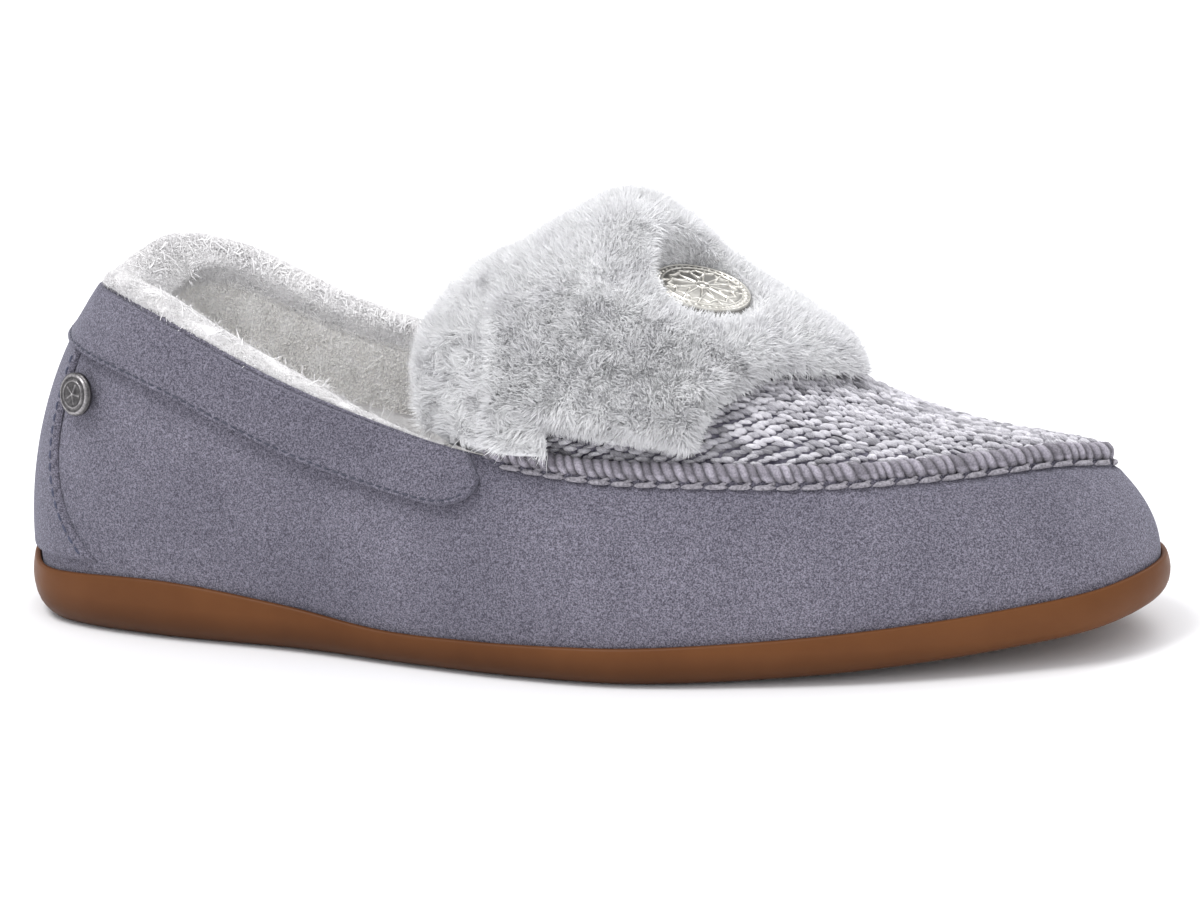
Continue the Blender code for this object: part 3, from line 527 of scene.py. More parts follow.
def suede_finish(name, dark, light):
    """Split suede: cloudy nap colour, a fine fibre mottle, and a short pile that breaks up the light."""
    finish = Finish(name, Roughness=0.95, Specular_IOR_Level=0.12, Sheen_Weight=0.22, Sheen_Roughness=0.55)
    finish.shader.inputs["Sheen Tint"].default_value = (0.75, 0.78, 0.9, 1)
    cloud = finish.noise(24, 3, 0.5)
    fibre = finish.noise(3000, 2, 0.6)
    grain = finish.noise(1500, 3, 0.6)
    nap = finish.ramp(cloud, [(0.3, dark), (0.7, light)])
    coarse = finish.ramp(grain, [(0.38, (0.34, 0.34, 0.35)), (0.62, (0.66, 0.66, 0.66))])
    fine = finish.ramp(fibre, [(0.38, (0.22, 0.22, 0.24)), (0.62, (0.80, 0.80, 0.80))])
    mottled = finish.mix(0.8, finish.mix(0.6, nap, coarse, "OVERLAY"), fine, "OVERLAY")
    lower = finish.bump(grain, 0.55, 0.0006)
    return finish.feed(Base_Color=mottled, Normal=finish.bump(fibre, 0.5, 0.0003, lower))


suede = suede_finish("suede", (0.118, 0.112, 0.140), (0.172, 0.163, 0.198))
suede.wear(wrap)
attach(wrap, "root")
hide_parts("suede_wrap")


# ---------------------------------------------------------------------------------------------
# Backstay: a strip of the same suede laid over the heel seam, wider at its top and foot, stitched
# down near each edge with dark thread.
BACKSTAY_EDGE = 1.555
LAYER_GAP = 0.45 * MM
BAND_WIDTH = 16 * MM
THREAD_RADIUS = 0.38 * MM


def band_drop(t):
    """Width of the collar band at t, rounded off where its ends tuck up in front of the throat."""
    reach = np.clip((THROAT + 0.05 - np.abs(t)) / 0.8, 0, 1)
    return BAND_WIDTH * (0.85 + 0.15 * np.clip(np.abs(t) / 2, 0, 1)) * np.sqrt(1 - (1 - reach) ** 2)


def patch_solid(t, v, lift, depth, edge=0.8 * MM):
    """A closed patch of sheet over grids t and v, its outer face rounding down to its edges."""
    rows, columns = t.shape
    face = skin(t, v, lift)
    to_side = np.minimum(
        np.linalg.norm(face - face[:1], axis=2), np.linalg.norm(face - face[-1:], axis=2)
    )
    to_end = np.minimum(
        np.linalg.norm(face - face[:, :1], axis=2), np.linalg.norm(face - face[:, -1:], axis=2)
    )
    near = np.clip(1 - np.minimum(to_side, to_end) / edge, 0, 1)
    fall = depth * 0.85 * (1 - np.sqrt(1 - near**2))
    outer = skin(t, v, lift - fall)
    inner = skin(t, v, np.broadcast_to(np.asarray(lift), t.shape) * 0 + np.min(lift) - depth)
    rim_row = np.concatenate([
        np.arange(columns), np.arange(1, rows) * columns + columns - 1,
        (rows - 1) * columns + np.arange(columns - 2, -1, -1), np.arange(rows - 2, 0, -1) * columns,
    ])
    far = rim_row + rows * columns
    walls = np.stack([rim_row, far, np.roll(far, -1), np.roll(rim_row, -1)], 1)
    faces = np.concatenate([
        grid_faces(rows, columns), grid_faces(rows, columns)[:, ::-1] + rows * columns, walls
    ])
    return np.concatenate([outer.reshape(-1, 3), inner.reshape(-1, 3)]), faces


def stitches(path_t, path_v, lift, pitch, length, radius, slant=0.0):
    """Separate stitches along a path on the upper: each a short bead that dips at both ends."""
    path = skin(path_t, path_v, lift)
    run = np.concatenate([[0], np.cumsum(np.linalg.norm(np.diff(path, axis=0), axis=1))])
    centres = np.arange(pitch / 2, run[-1] - pitch / 2, pitch)
    t = np.interp(centres, run, path_t)
    v = np.interp(centres, run, path_v)
    at = np.stack([np.interp(centres, run, path[:, axis]) for axis in range(3)], 1)
    ahead = np.stack([np.interp(centres + 0.1 * MM, run, path[:, axis]) for axis in range(3)], 1)
    along = unit(ahead - at)
    normal = upper_normal(t, v)
    side = unit(np.cross(normal, along))
    along = unit(along + slant * side)
    return beads(at, along, normal, np.full(len(at), length), np.full(len(at), radius))


def beads(at, along, normal, length, radius, rings=7, sides=6, dip=0.9):
    """Short bent spindles of yarn centred on at, lying along, with their ends dipping from normal."""
    s = np.linspace(-1, 1, rings)
    turn = np.linspace(0, 2 * np.pi, sides, endpoint=False)
    side = unit(np.cross(normal, along))
    girth = np.sqrt(np.clip(1 - 0.96 * np.abs(s) ** 3.2, 0.02, 1))
    spine = at[:, None] + along[:, None] * (s * length[:, None] / 2)[..., None]
    spine = spine - normal[:, None] * (dip * radius[:, None] * s**4)[..., None]
    around = normal[:, None, None] * np.cos(turn)[None, None, :, None]
    around = around + side[:, None, None] * np.sin(turn)[None, None, :, None]
    points = spine[:, :, None] + around * (radius[:, None] * girth)[..., None, None]
    body = grid_faces(rings, sides, close_columns=True)
    count = len(at)
    block = rings * sides
    faces = (body[None] + block * np.arange(count)[:, None, None]).reshape(-1, 4)
    first = np.arange(sides)
    caps = [(first[0], first[1], first[2], first[3]), (first[0], first[3], first[4], first[5])]
    caps = np.array(caps)
    ends = np.concatenate([caps, caps[:, ::-1] + block - sides])
    faces = np.concatenate([faces, (ends[None] + block * np.arange(count)[:, None, None]).reshape(-1, 4)])
    return points.reshape(-1, 3), faces


height_top = float(down_from_top(np.array([0.0]), band_drop(np.array([0.0])) - 1.0 * MM)[0])
share = np.linspace(0, 1, 70)
level = 0.07 + (height_top - 0.07) * share
edge_t = BACKSTAY_EDGE + np.where(level < 0.5, 4.0, 1.6) * (level - 0.5) ** 2
across = np.linspace(-1, 1, 61)
t = across[:, None] * edge_t[None, :]
highest = down_from_top(t[:, -1], band_drop(t[:, -1]) - 1.0 * MM)
v = 0.07 + (level - 0.07)[None, :] * ((highest - 0.07) / (height_top - 0.07))[:, None]
points, faces = patch_solid(t, v, LAYER_GAP + 0.9 * MM, 1.3 * MM)
backstay = tidy(mesh_of("backstay_skin", points, faces))
suede.wear(backstay)
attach(backstay, "root")
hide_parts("backstay")

thread = Finish("dark_thread", Roughness=0.75, Sheen_Weight=0.2)
dyes = [(0.35, (0.035, 0.04, 0.075)), (0.65, (0.085, 0.09, 0.14))]
thread.feed(Base_Color=thread.ramp(thread.noise(2500, 2), dyes))
for name, side in (("lateral", -1), ("medial", 1)):
    line_t = side * -1 * (edge_t - 0.10)[2:-3]
    line_v = (v[-1] if side < 0 else v[0])[2:-3]
    points, faces = stitches(line_t, line_v, LAYER_GAP + 0.95 * MM, 2.9 * MM, 2.5 * MM, THREAD_RADIUS)
    row = mesh_of(f"backstay_stitches_{name}", points, faces)
    thread.wear(row)
    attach(row, "root")
    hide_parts(f"backstay_thread_{name}")


# ---------------------------------------------------------------------------------------------
# Collar band: a 16 mm suede strip round the topline with its lower edge turned under, so that it
# stands a little proud, and topstitched 2 mm in. Its rounded ends tuck up at the throat.
end = THROAT - 0.02
turns = np.linspace(-1, 1, 420)
t = end * np.sign(turns) * (1 - (1 - np.abs(turns)) ** 1.0)
width = band_drop(t)
share = np.linspace(0, 1, 44)
distance = 0.3 * MM + (width[:, None] - 0.3 * MM) * share[None, :]
v = np.stack([down_from_top(t, distance[:, k]) for k in range(len(share))], 1)[:, ::-1]
from_low = (width[:, None] - distance)[:, ::-1]
lift = LAYER_GAP + 1.45 * MM + 0.55 * MM * np.exp(-((from_low / (2.2 * MM)) ** 2))
lift = lift - 0.30 * MM * np.exp(-(((from_low - 1.2 * MM) / (0.45 * MM)) ** 2))
lift = lift + 0.12 * MM * lumps(skin(t[:, None] + 0 * v, v), 9 * MM, 8)
points, faces = patch_solid(t[:, None] + 0 * v, v, lift, 1.7 * MM, edge=0.45 * MM)
band = tidy(mesh_of("collar_band_skin", points, faces))
suede.wear(band)
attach(band, "root")
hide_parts("collar_band")

# The topstitch is near black and almost continuous: partly real thread and partly painted shadow along the
# band's lower edge.
line = t[np.abs(t) < THROAT - 0.14]
line_v = down_from_top(line, np.maximum(band_drop(line) - 1.1 * MM, 1.5 * MM))
points, faces = stitches(line, line_v, LAYER_GAP + 1.65 * MM, 2.2 * MM, 1.9 * MM, 0.27 * MM)
band_row = mesh_of("band_topstitch_and_edge_shadow", points, faces)
thread_and_edge_shadow = Finish("thread_and_edge_shadow", Roughness=0.8, Sheen_Weight=0.2)
thread_and_edge_shadow.feed(Base_Color=thread_and_edge_shadow.ramp(
    thread_and_edge_shadow.noise(2500, 2), [(0.35, (0.03, 0.032, 0.055)), (0.65, (0.07, 0.072, 0.10))]
))
thread_and_edge_shadow.wear(band_row)
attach(band_row, "root")
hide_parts("band_thread")


# ---------------------------------------------------------------------------------------------
# Plug: the apron over the forefoot, cut from a thick boucle tweed. Slubby grey and white yarns
# lie along the foot over a dark ground, each float 3 to 4 mm long and dipping at its ends.
PLUG_INSET = 3.0 * MM
PLUG_FRONT = HALF_TURN - 0.34
TWEED_REAR = 0.50 * LENGTH


def plug_face(x, offset):
    """The plug at x, offset from its crest line by an arc distance across; outside its edge: NaN."""
    r = station_at(x)
    angle = np.linspace(-np.pi / 2, np.pi / 2, 81)
    shape = (len(r), 81)
    section = arch(np.broadcast_to(r[:, None], shape), np.broadcast_to(angle, shape), PLUG_INSET)
    run = np.cumsum(np.linalg.norm(np.diff(section, axis=1, prepend=section[:, :1]), axis=2), 1)
    run -= run[:, 40:41]
    angle_at = np.array([np.interp(o, row, angle, left=np.nan, right=np.nan) for o, row in zip(offset, run)])
    return r, angle_at


def plug_normal(r, angle):
    along = arch(r + 0.02, angle, PLUG_INSET) - arch(r - 0.02, angle, PLUG_INSET)
    over = arch(r, angle + 0.02, PLUG_INSET) - arch(r, angle - 0.02, PLUG_INSET)
    return unit(np.cross(along, over))


r = np.linspace(station_at(TWEED_REAR), PLUG_FRONT, 150)
angle = np.radians(np.linspace(-90, 90, 91))
rr, aa = np.meshgrid(r, angle, indexing="ij")
face = arch(rr, aa, PLUG_INSET)
normal = plug_normal(rr, aa)
outer = face - 0.55 * MM * normal
inner = face - 1.7 * MM * normal
rows, columns = rr.shape
rim_row = np.concatenate([
    np.arange(columns), np.arange(1, rows) * columns + columns - 1,
    (rows - 1) * columns + np.arange(columns - 2, -1, -1), np.arange(rows - 2, 0, -1) * columns,
])
far = rim_row + rows * columns
walls = np.stack([rim_row, far, np.roll(far, -1), np.roll(rim_row, -1)], 1)
sheet = grid_faces(rows, columns)
faces = np.concatenate([sheet, sheet[:, ::-1] + rows * columns, walls])
points = np.concatenate([outer.reshape(-1, 3), inner.reshape(-1, 3)])
plug_ground = tidy(mesh_of("plug_ground", points, faces))
ground_cloth = Finish("tweed_ground", Roughness=1.0, Specular_IOR_Level=0.1)
ground_cloth.feed(
    Base_Color=ground_cloth.ramp(
        ground_cloth.noise(900, 3), [(0.35, (0.09, 0.085, 0.115)), (0.65, (0.26, 0.25, 0.30))]
    ),
    Normal=ground_cloth.bump(ground_cloth.noise(1200, 3), 0.8, 0.0006),
)
ground_cloth.wear(plug_ground)
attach(plug_ground, "root")
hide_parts("plug")

dice = np.random.default_rng(11)
ROW_PITCH, FLOAT_PITCH = 1.22 * MM, 2.9 * MM
lines = np.arange(-64 * MM, 64 * MM, ROW_PITCH)
xs = np.arange(TWEED_REAR, 0.96 * LENGTH, FLOAT_PITCH)
line_of, x_of = np.meshgrid(lines, xs, indexing="ij")
shift = (np.arange(len(lines)) % 2 * 0.5 + dice.uniform(-0.12, 0.12, len(lines)))[:, None] * FLOAT_PITCH
x_of = (x_of + shift + dice.uniform(-0.35, 0.35, x_of.shape) * MM).ravel()
line_of = (line_of + dice.uniform(-0.16, 0.16, line_of.shape) * MM).ravel()
r, angle = plug_face(x_of, line_of)
keep = ~np.isnan(angle) & (np.abs(angle) < np.radians(88)) & (r < PLUG_FRONT - 0.02)
r, angle = r[keep], angle[keep]
at, normal = arch(r, angle, PLUG_INSET), plug_normal(r, angle)
forward = unit(np.cross(np.cross(normal, np.array([1.0, 0, 0])), normal))
side = np.cross(normal, forward)
lean = dice.normal(0.0, 0.16, len(r))[:, None] + 0.10
along = unit(forward + lean * side)
length = dice.normal(3.5, 0.5, len(r)).clip(2.3, 4.8) * MM
radius = dice.normal(0.60, 0.10, len(r)).clip(0.40, 0.90) * MM
points, faces = beads(at + normal * dice.uniform(-0.25, 0.2, (len(r), 1)) * MM, along, normal, length, radius)
shade = dice.choice([0.34, 0.52, 0.70, 0.88, 1.0], len(r), p=[0.07, 0.17, 0.28, 0.30, 0.18])
shade = shade + dice.normal(0, 0.04, len(r))
tone = np.repeat(shade, len(points) // len(r))
tone = tone * (1 + 0.24 * lumps(points, 0.6 * MM, 21))
weave = mesh_of("plug_weave", points, faces, tone=tone)
tweed = Finish("tweed", Roughness=0.95, Specular_IOR_Level=0.15, Sheen_Weight=0.25)
strands = tweed.node("ShaderNodeTexWave", {
    "Vector": tweed.place, "Scale": 900, "Distortion": 6, "Detail": 2, "Detail Scale": 2,
}, bands_direction="DIAGONAL").outputs["Fac"]
wool = tweed.mix(1.0, tweed.attribute("tone"), (0.90, 0.88, 0.93), "MULTIPLY")
flecked = tweed.ramp(strands, [(0.2, (0.32, 0.31, 0.36)), (0.75, (0.72, 0.72, 0.74))])
wool = tweed.mix(0.45, wool, flecked, "OVERLAY")
fuzz = tweed.bump(tweed.noise(1900, 3, 0.7), 0.6, 0.0004)
tweed.feed(Base_Color=wool, Normal=tweed.bump(strands, 0.7, 0.0004, fuzz))
tweed.wear(weave)
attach(weave, "root")


# ---------------------------------------------------------------------------------------------
# Seam ridge: the plug's edge and the wrap's edge stand up together and are overcast with a thick
# mauve grey yarn, so the ridge looks like a rope. A lighter chain stitch runs along its foot.
ROPE_PITCH = 2.3 * MM
ROPE_RADIUS = 1.75 * MM

rope_start, rope_end = np.interp([THROAT + 0.1, FULL_TURN - THROAT - 0.1], RUN_T, RUN)
t = np.interp(np.arange(rope_start, rope_end, 0.17 * MM), RUN, RUN_T)
run = np.interp(t, RUN_T, RUN)
edge = loop_through(TOP_KNOTS, t)
inner = sole_edge(t, 1 * MM) - sole_edge(t)
inner = np.column_stack([unit(inner), np.zeros(len(t))])
core = edge + inner * 0.9 * MM + UP * 1.55 * MM
along = unit(np.gradient(core, axis=0))
side = unit(np.cross(along, UP))
rise = np.cross(side, along)
turn = np.linspace(0, 2 * np.pi, 28, endpoint=False)
loose = run / ROPE_PITCH + 0.45 * lumps(core, 4.5 * MM, 33)
phase = loose[:, None] + 2 * turn[None, :] / (2 * np.pi)
strand = np.abs(np.sin(np.pi * phase))
wobble = lumps(core, 3.5 * MM, 31)[:, None]
radius = ROPE_RADIUS * (0.80 + 0.10 * wobble) + 0.55 * MM * strand**0.6
ends = np.clip(np.minimum(run - run[0], run[-1] - run) / (2.5 * MM), 0, 1)
radius = radius * np.sqrt(np.clip(1 - (1 - ends) ** 2, 0.02, 1))[:, None]
rope = core[:, None] + radius[..., None] * (
    side[:, None] * np.cos(turn)[None, :, None] + rise[:, None] * np.sin(turn)[None, :, None] * 1.12
)
rope = rope + 0.16 * MM * lumps(rope, 0.55 * MM, 34)[..., None] * (rope - core[:, None]) / (1.8 * MM)
# Painted shade: tone darkens the yarn in the grooves between the rope's strands; knot gives each strand a
# random brightness.
tone = 0.28 + 0.72 * strand**0.8
knot = (np.floor(phase) * 7.3) % 1.0
tone = (tone * (0.62 + 0.65 * knot)).ravel()
rope_faces = grid_faces(*rope.shape[:2], close_columns=True)
ridge = tidy(mesh_of("overcast_ridge", rope.reshape(-1, 3), rope_faces, tone=tone))
yarn = Finish("mauve_yarn", Roughness=0.95, Specular_IOR_Level=0.12, Sheen_Weight=0.25)
hair = yarn.noise(2400, 3, 0.7)
# The mauve dye times the tone attribute, which carries the painted shade in the grooves.
dye_and_groove_shade = yarn.mix(1.0, yarn.attribute("tone"), (0.36, 0.34, 0.38), "MULTIPLY")
haired = yarn.ramp(hair, [(0.36, (0.28, 0.27, 0.30)), (0.62, (0.78, 0.77, 0.80))])
dye_and_groove_shade = yarn.mix(0.55, dye_and_groove_shade, haired, "OVERLAY")
yarn.feed(Base_Color=dye_and_groove_shade, Normal=yarn.bump(hair, 0.8, 0.0005))
yarn.wear(ridge)
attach(ridge, "root")
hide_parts("seam_ridge")

line = t[20:-20:10]
line_v = down_from_top(line, 1.55 * MM)
links, link_faces = stitches(line, line_v, 0.40 * MM, CHAIN_PITCH, 5.1 * MM, 0.62 * MM, slant=0.05)
joints_at, joint_faces = stitches(
    line[1:], line_v[1:] + 0.02, 0.2 * MM, CHAIN_PITCH, 2.8 * MM, 0.45 * MM, slant=0.5
)
points, faces = joined([(links, link_faces), (joints_at, joint_faces)])
chain = mesh_of("chain_stitch", points, faces)
cord_finish = Finish("light_cord", Roughness=0.9, Specular_IOR_Level=0.15, Sheen_Weight=0.2)
ply = cord_finish.noise(1600, 3, 0.7)
cord_finish.feed(
    Base_Color=cord_finish.ramp(ply, [(0.36, (0.17, 0.16, 0.18)), (0.62, (0.42, 0.40, 0.44))]),
    Normal=cord_finish.bump(ply, 0.7, 0.0005),
)
cord_finish.wear(chain)
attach(chain, "root")
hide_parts("seam_thread")


# ---------------------------------------------------------------------------------------------
# Faux fur: a knitted base with a dense soft pile. The base is a lumpy closed skin; the pile is
# tapered blades that lean with the comb direction and gather into small clumps at their tips.
def fur_finish(name, shade, light):
    """White plush: pale fibres with a little cool shade in clouds and a soft sheen."""
    finish = Finish(name, Roughness=1.0, Specular_IOR_Level=0.03, Sheen_Weight=0.15, Sheen_Roughness=0.5)
    cloud = finish.noise(130, 4, 0.6)
    finish.feed(Normal=finish.bump(finish.noise(900, 3, 0.7), 0.4, 0.001))
    return finish.feed(Base_Color=finish.ramp(cloud, [(0.3, shade), (0.6, light)]))


lining_pile = fur_finish("lining_fur", (0.91, 0.90, 0.905), (0.955, 0.945, 0.945))
cuff_pile = fur_finish("cuff_fur", (0.915, 0.912, 0.925), (0.955, 0.955, 0.96))


def blades(roots, normals, comb, length, width, seed, clump=3.2 * MM, gather=0.5):
    """Tapered three-face blades: root pair, middle pair and tip; tips drift towards clump centres."""
    draw = np.random.default_rng(seed)
    count = len(roots)
    direction = unit(normals + comb + draw.normal(0, 0.30, (count, 3)))
    drift = np.stack([lumps(roots, clump, seed + axis) for axis in range(3)], 1)
    drift = drift + 0.6 * np.stack([lumps(roots, clump * 0.45, seed + 5 + axis) for axis in range(3)], 1)
    reach = length * draw.uniform(0.75, 1.12, count)
    tip = roots + unit(direction + gather * drift) * reach[:, None]
    middle = roots + direction * (0.55 * reach)[:, None]
    side = unit(np.cross(direction, normals + draw.normal(0, 0.22, (count, 3))))
    wide = width * draw.uniform(0.7, 1.3, (count, 1))
    points = np.stack([
        roots - side * wide * 0.5, roots + side * wide * 0.5,
        middle + side * wide * 0.42, middle - side * wide * 0.42, tip,
    ], 1)
    start = 5 * np.arange(count)[:, None]
    faces = np.concatenate([start + [0, 1, 2], start + [0, 2, 3], start + [3, 2, 4]])
    return points.reshape(-1, 3), faces


def fur_piece(finish, name, points, faces):
    """One mesh of blades in the finish of its fur."""
    return finish.wear(mesh_of(name, points, faces))


def scatter(surface, count, seed, u_range=(0, 1), v_range=(0, 1)):
    """Random points, even in area, on surface(u, v); returns their u, v, place and normal."""
    draw = np.random.default_rng(seed)
    u = draw.uniform(*u_range, count * 3)
    v = draw.uniform(*v_range, count * 3)
    step = 1e-3
    du = (surface(u + step, v) - surface(u - step, v)) / (2 * step)
    dv = (surface(u, v + step) - surface(u, v - step)) / (2 * step)
    cross = np.cross(du, dv)
    area = np.linalg.norm(cross, axis=1)
    keep = draw.uniform(0, 1, len(u)) * np.quantile(area, 0.995) < area
    keep = np.nonzero(keep)[0][:count]
    return u[keep], v[keep], surface(u[keep], v[keep]), unit(cross[keep])


QUICK_SHARE = 1.0


def blade_count(faces):
    return int(faces / 3 * QUICK_SHARE)


# Quarter lining: the fur that lines the heel and quarters, 6 mm deep on the foot's side. It rolls
# over the topline and shows as a soft white edge above the suede band.
LINING_DEPTH = 3.0 * MM
LINING = 8.5 * MM
LINING_END = THROAT - 0.3


TABLE_T = np.linspace(-THROAT, THROAT, 400)
TABLE_TOP = down_from_top(TABLE_T, -0.6 * MM)


def lining_profile(u, v):
    """The lining's skin: u runs round the heel, v from the footbed up, over the top and out to the band."""
    t = (2 * np.clip(u, -0.02, 1.02) - 1) * LINING_END
    top = np.interp(t, TABLE_T, TABLE_TOP)
    low = 0.2 + 0.1 * np.clip(np.abs(t) / 6, 0, 1)
    climb = np.clip(v / 0.72, 0, 1)
    roll = np.clip((v - 0.72) / 0.28, 0, 1.15)
    level = low + (top - low) * climb
    turn = roll * np.pi
    centre_lift = -LINING_DEPTH + 1.2 * MM - LINING / 2
    swing = LINING / 2
    lift = centre_lift - swing * np.cos(turn)
    lift = np.where(v < 0.72, -LINING_DEPTH + 1.2 * MM - LINING, lift)
    out = np.interp(t, [-6, -3, -1, 1.5, 3, 4.5], [2.6, 2.8, 3.0, 2.8, 1.4, 0.4]) * MM
    place = skin(t, level, lift + out * np.clip(roll, 0, 1))
    height = np.interp(t, [-6, -4, -1.5, 0, 1.5, 3, 4, 6], [0.62, 0.68, 0.85, 1.05, 1.05, 0.55, 0.25, 0.2])
    return place + UP * (np.sin(turn) * swing * height)[..., None]


u, v = np.meshgrid(np.linspace(0, 1, 260), np.linspace(0, 1, 46), indexing="ij")
skin_points = lining_profile(u, v)
skin_points = skin_points + 0.5 * MM * lumps(skin_points, 4 * MM, 41)[..., None] * np.array([0.4, 0.4, 1.0])
t_back = (2 * u - 1) * LINING_END
low_back = 0.2 + 0.1 * np.clip(np.abs(t_back) / 6, 0, 1)
top_back = np.repeat(down_from_top(t_back[:, 0], -0.6 * MM)[:, None], v.shape[1], 1)
back = skin(t_back, top_back + (low_back - top_back) * v, -LINING_DEPTH + 1.0 * MM)
body = np.concatenate([skin_points, back[:, 1:]], 1)
lining_faces = grid_faces(body.shape[0], body.shape[1], close_columns=True)
lining = tidy(mesh_of("quarter_lining_base", body.reshape(-1, 3), lining_faces))
lining_pile.wear(lining)
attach(lining, "root")
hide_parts("quarter_lining")
for number, (start, end) in enumerate(((0.0, 0.5), (0.5, 1.0))):
    count = blade_count(190000)
    u, v, roots, normals = scatter(lining_profile, count, 50 + number, (start, end), (0.62, 1.0))
    comb = 0.45 * UP[None, :] * np.interp(v, [0.62, 0.75, 0.9, 1.0], [0.3, 1.0, 0.2, -0.8])[:, None]
    length = np.interp(v, [0.62, 0.7, 0.85, 1.0], [3.0, 3.6, 4.6, 4.2]) * MM
    tuft = fur_piece(
        lining_pile, f"quarter_pile_{number}",
        *blades(roots - 0.4 * MM * normals, normals, comb, length, 0.22 * MM, 60 + 9 * number),
    )
    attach(tuft, "root")


# The same pile lower down on the inside, down to the sock, painted brighter and warmer than the lining:
# painted light that lifts the shade inside the slipper.
painted_light_inner_pile = fur_finish("painted_light_inner_fur", (0.975, 0.955, 0.93), (0.995, 0.985, 0.965))
u, v, roots, normals = scatter(lining_profile, blade_count(190000), 58, (0.0, 1.0), (0.30, 0.64))
tuft = fur_piece(
    painted_light_inner_pile, "inner_wall_pile",
    *blades(
        roots - 0.4 * MM * normals, normals, 0.35 * UP[None, :] + 0 * roots, 2.6 * MM + 0 * u,
        0.24 * MM, 78,
    ),
)
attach(tuft, "root")


# ---------------------------------------------------------------------------------------------
# Sock: the fleece glued over the footbed. A shallow dish whose edge rounds down to the board, with
# a short dense pile that stands up.
SOCK_TOP, SOCK_THICK, SOCK_DISH = 8.9 * MM, 2.5 * MM, 1.2 * MM
SOCK_EDGE = UPPER_INSET + SUEDE + 0.45 * MM + 4.5 * MM


def sock_top(u, v):
    """The dish: u runs round the sole's edge, v from the rim (0) to the middle line (1)."""
    edge = sole_edge(u * FULL_TURN, SOCK_EDGE)
    middle = np.stack([edge[..., 0], 0.06 * edge[..., 1]], -1)
    xy = edge + (middle - edge) * v[..., None]
    dish = SOCK_DISH * np.clip(v / 0.25, 0, 1) ** 2 * (3 - 2 * np.clip(v / 0.25, 0, 1))
    round_off = 0.7 * MM * np.clip(1 - v / 0.04, 0, 1) ** 2
    return np.concatenate([xy, (rim(xy[..., 0]) + SOCK_TOP - dish - round_off)[..., None]], -1)


u, v = np.meshgrid(np.linspace(0, 1, 241)[:-1], np.linspace(0, 1, 26), indexing="ij")
over = sock_top(u, v)
under = over[:, ::-1] - (SOCK_THICK - 0.2 * MM) * UP
body = np.concatenate([over, under], 1).transpose(1, 0, 2)
sock_faces = grid_faces(*body.shape[:2], close_columns=True)
sock = tidy(mesh_of("sock_base", body.reshape(-1, 3), sock_faces))
# The sock wears the same brightened, warmer fur: painted light inside the slipper.
painted_light_inner_pile.wear(sock)
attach(sock, "root")
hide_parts("footbed_cover")
u, v, roots, normals = scatter(sock_top, blade_count(150000), 210, (0.0, 1.0), (0.02, 0.98))
normals = normals * np.sign(normals[:, 2:])
tuft = fur_piece(
    painted_light_inner_pile, "sock_pile",
    *blades(roots - 0.3 * MM * normals, normals, 0 * roots, 2.2 * MM + 0 * u, 0.26 * MM, 211, gather=0.2),
)
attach(tuft, "root")


# ---------------------------------------------------------------------------------------------
# Fold-over cuff: the same fur, folded at the instep and lying forward over the plug. It is deepest
# over the instep, thin at its front edge, and pulled into a dimple by the medallion.
FOLD_X = 0.443 * LENGTH
CUFF_REACH, CUFF_SIDE_CUT, CUFF_REAR_CUT = 84 * MM, 32 * MM, 8 * MM
CUFF_LIFT = 2.2 * MM
concho_low, concho_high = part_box("concho")
CONCHO = np.array((concho_low + concho_high) / 2) - ORIGIN + np.array([2.0, -6.5, 2.0]) * MM
CONCHO_AXIS = np.array([math.sin(math.radians(17)), -0.08, math.cos(math.radians(17))])
CONCHO_AXIS /= np.linalg.norm(CONCHO_AXIS)
CUFF_ANGLE = math.radians(73)


def cuff_place(u, v):
    """Length position x and angle over the instep: u from the fold to the front edge, v across."""
    angle = (2 * v - 1) * CUFF_ANGLE
    rear = FOLD_X + CUFF_REAR_CUT * np.abs(np.sin(angle)) - 2 * MM
    front = FOLD_X + CUFF_REACH - CUFF_SIDE_CUT * np.sqrt(np.sin(angle - math.radians(8)) ** 2 + 0.02)
    return rear + (front - rear) * u, angle


def cuff_depth(x, angle):
    places = FOLD_X + np.array([-6, 0, 6, 12, 20, 27, 33, 39, 46, 57, 67, 78, CUFF_REACH / MM]) * MM
    depths = np.array([0.5, 2.5, 6.2, 10.6, 17.2, 21.8, 22.6, 19.4, 15.4, 11.2, 8.2, 6.0, 5.0]) * MM
    middle = np.abs(np.cos(angle)) ** 4.5
    return smooth(places, depths, x) * middle + (1 - middle) * (4.2 * MM + 0.12 * smooth(places, depths, x))


def dimple(points):
    """How far to press the fur down at points round the medallion."""
    away = points - CONCHO
    along = away @ CONCHO_AXIS
    out = np.linalg.norm(away - along[..., None] * CONCHO_AXIS, axis=-1)
    near_side = np.clip(-away[..., 1] / (16 * MM), 0, 1) * np.clip(2.4 - out / (11.3 * MM), 0, 1)
    well = np.clip((1.20 - out / (11.3 * MM)) * 8, 0, 1)
    return np.clip(along + 0.8 * MM, 0, None) * np.maximum(well, 0.58 * near_side)


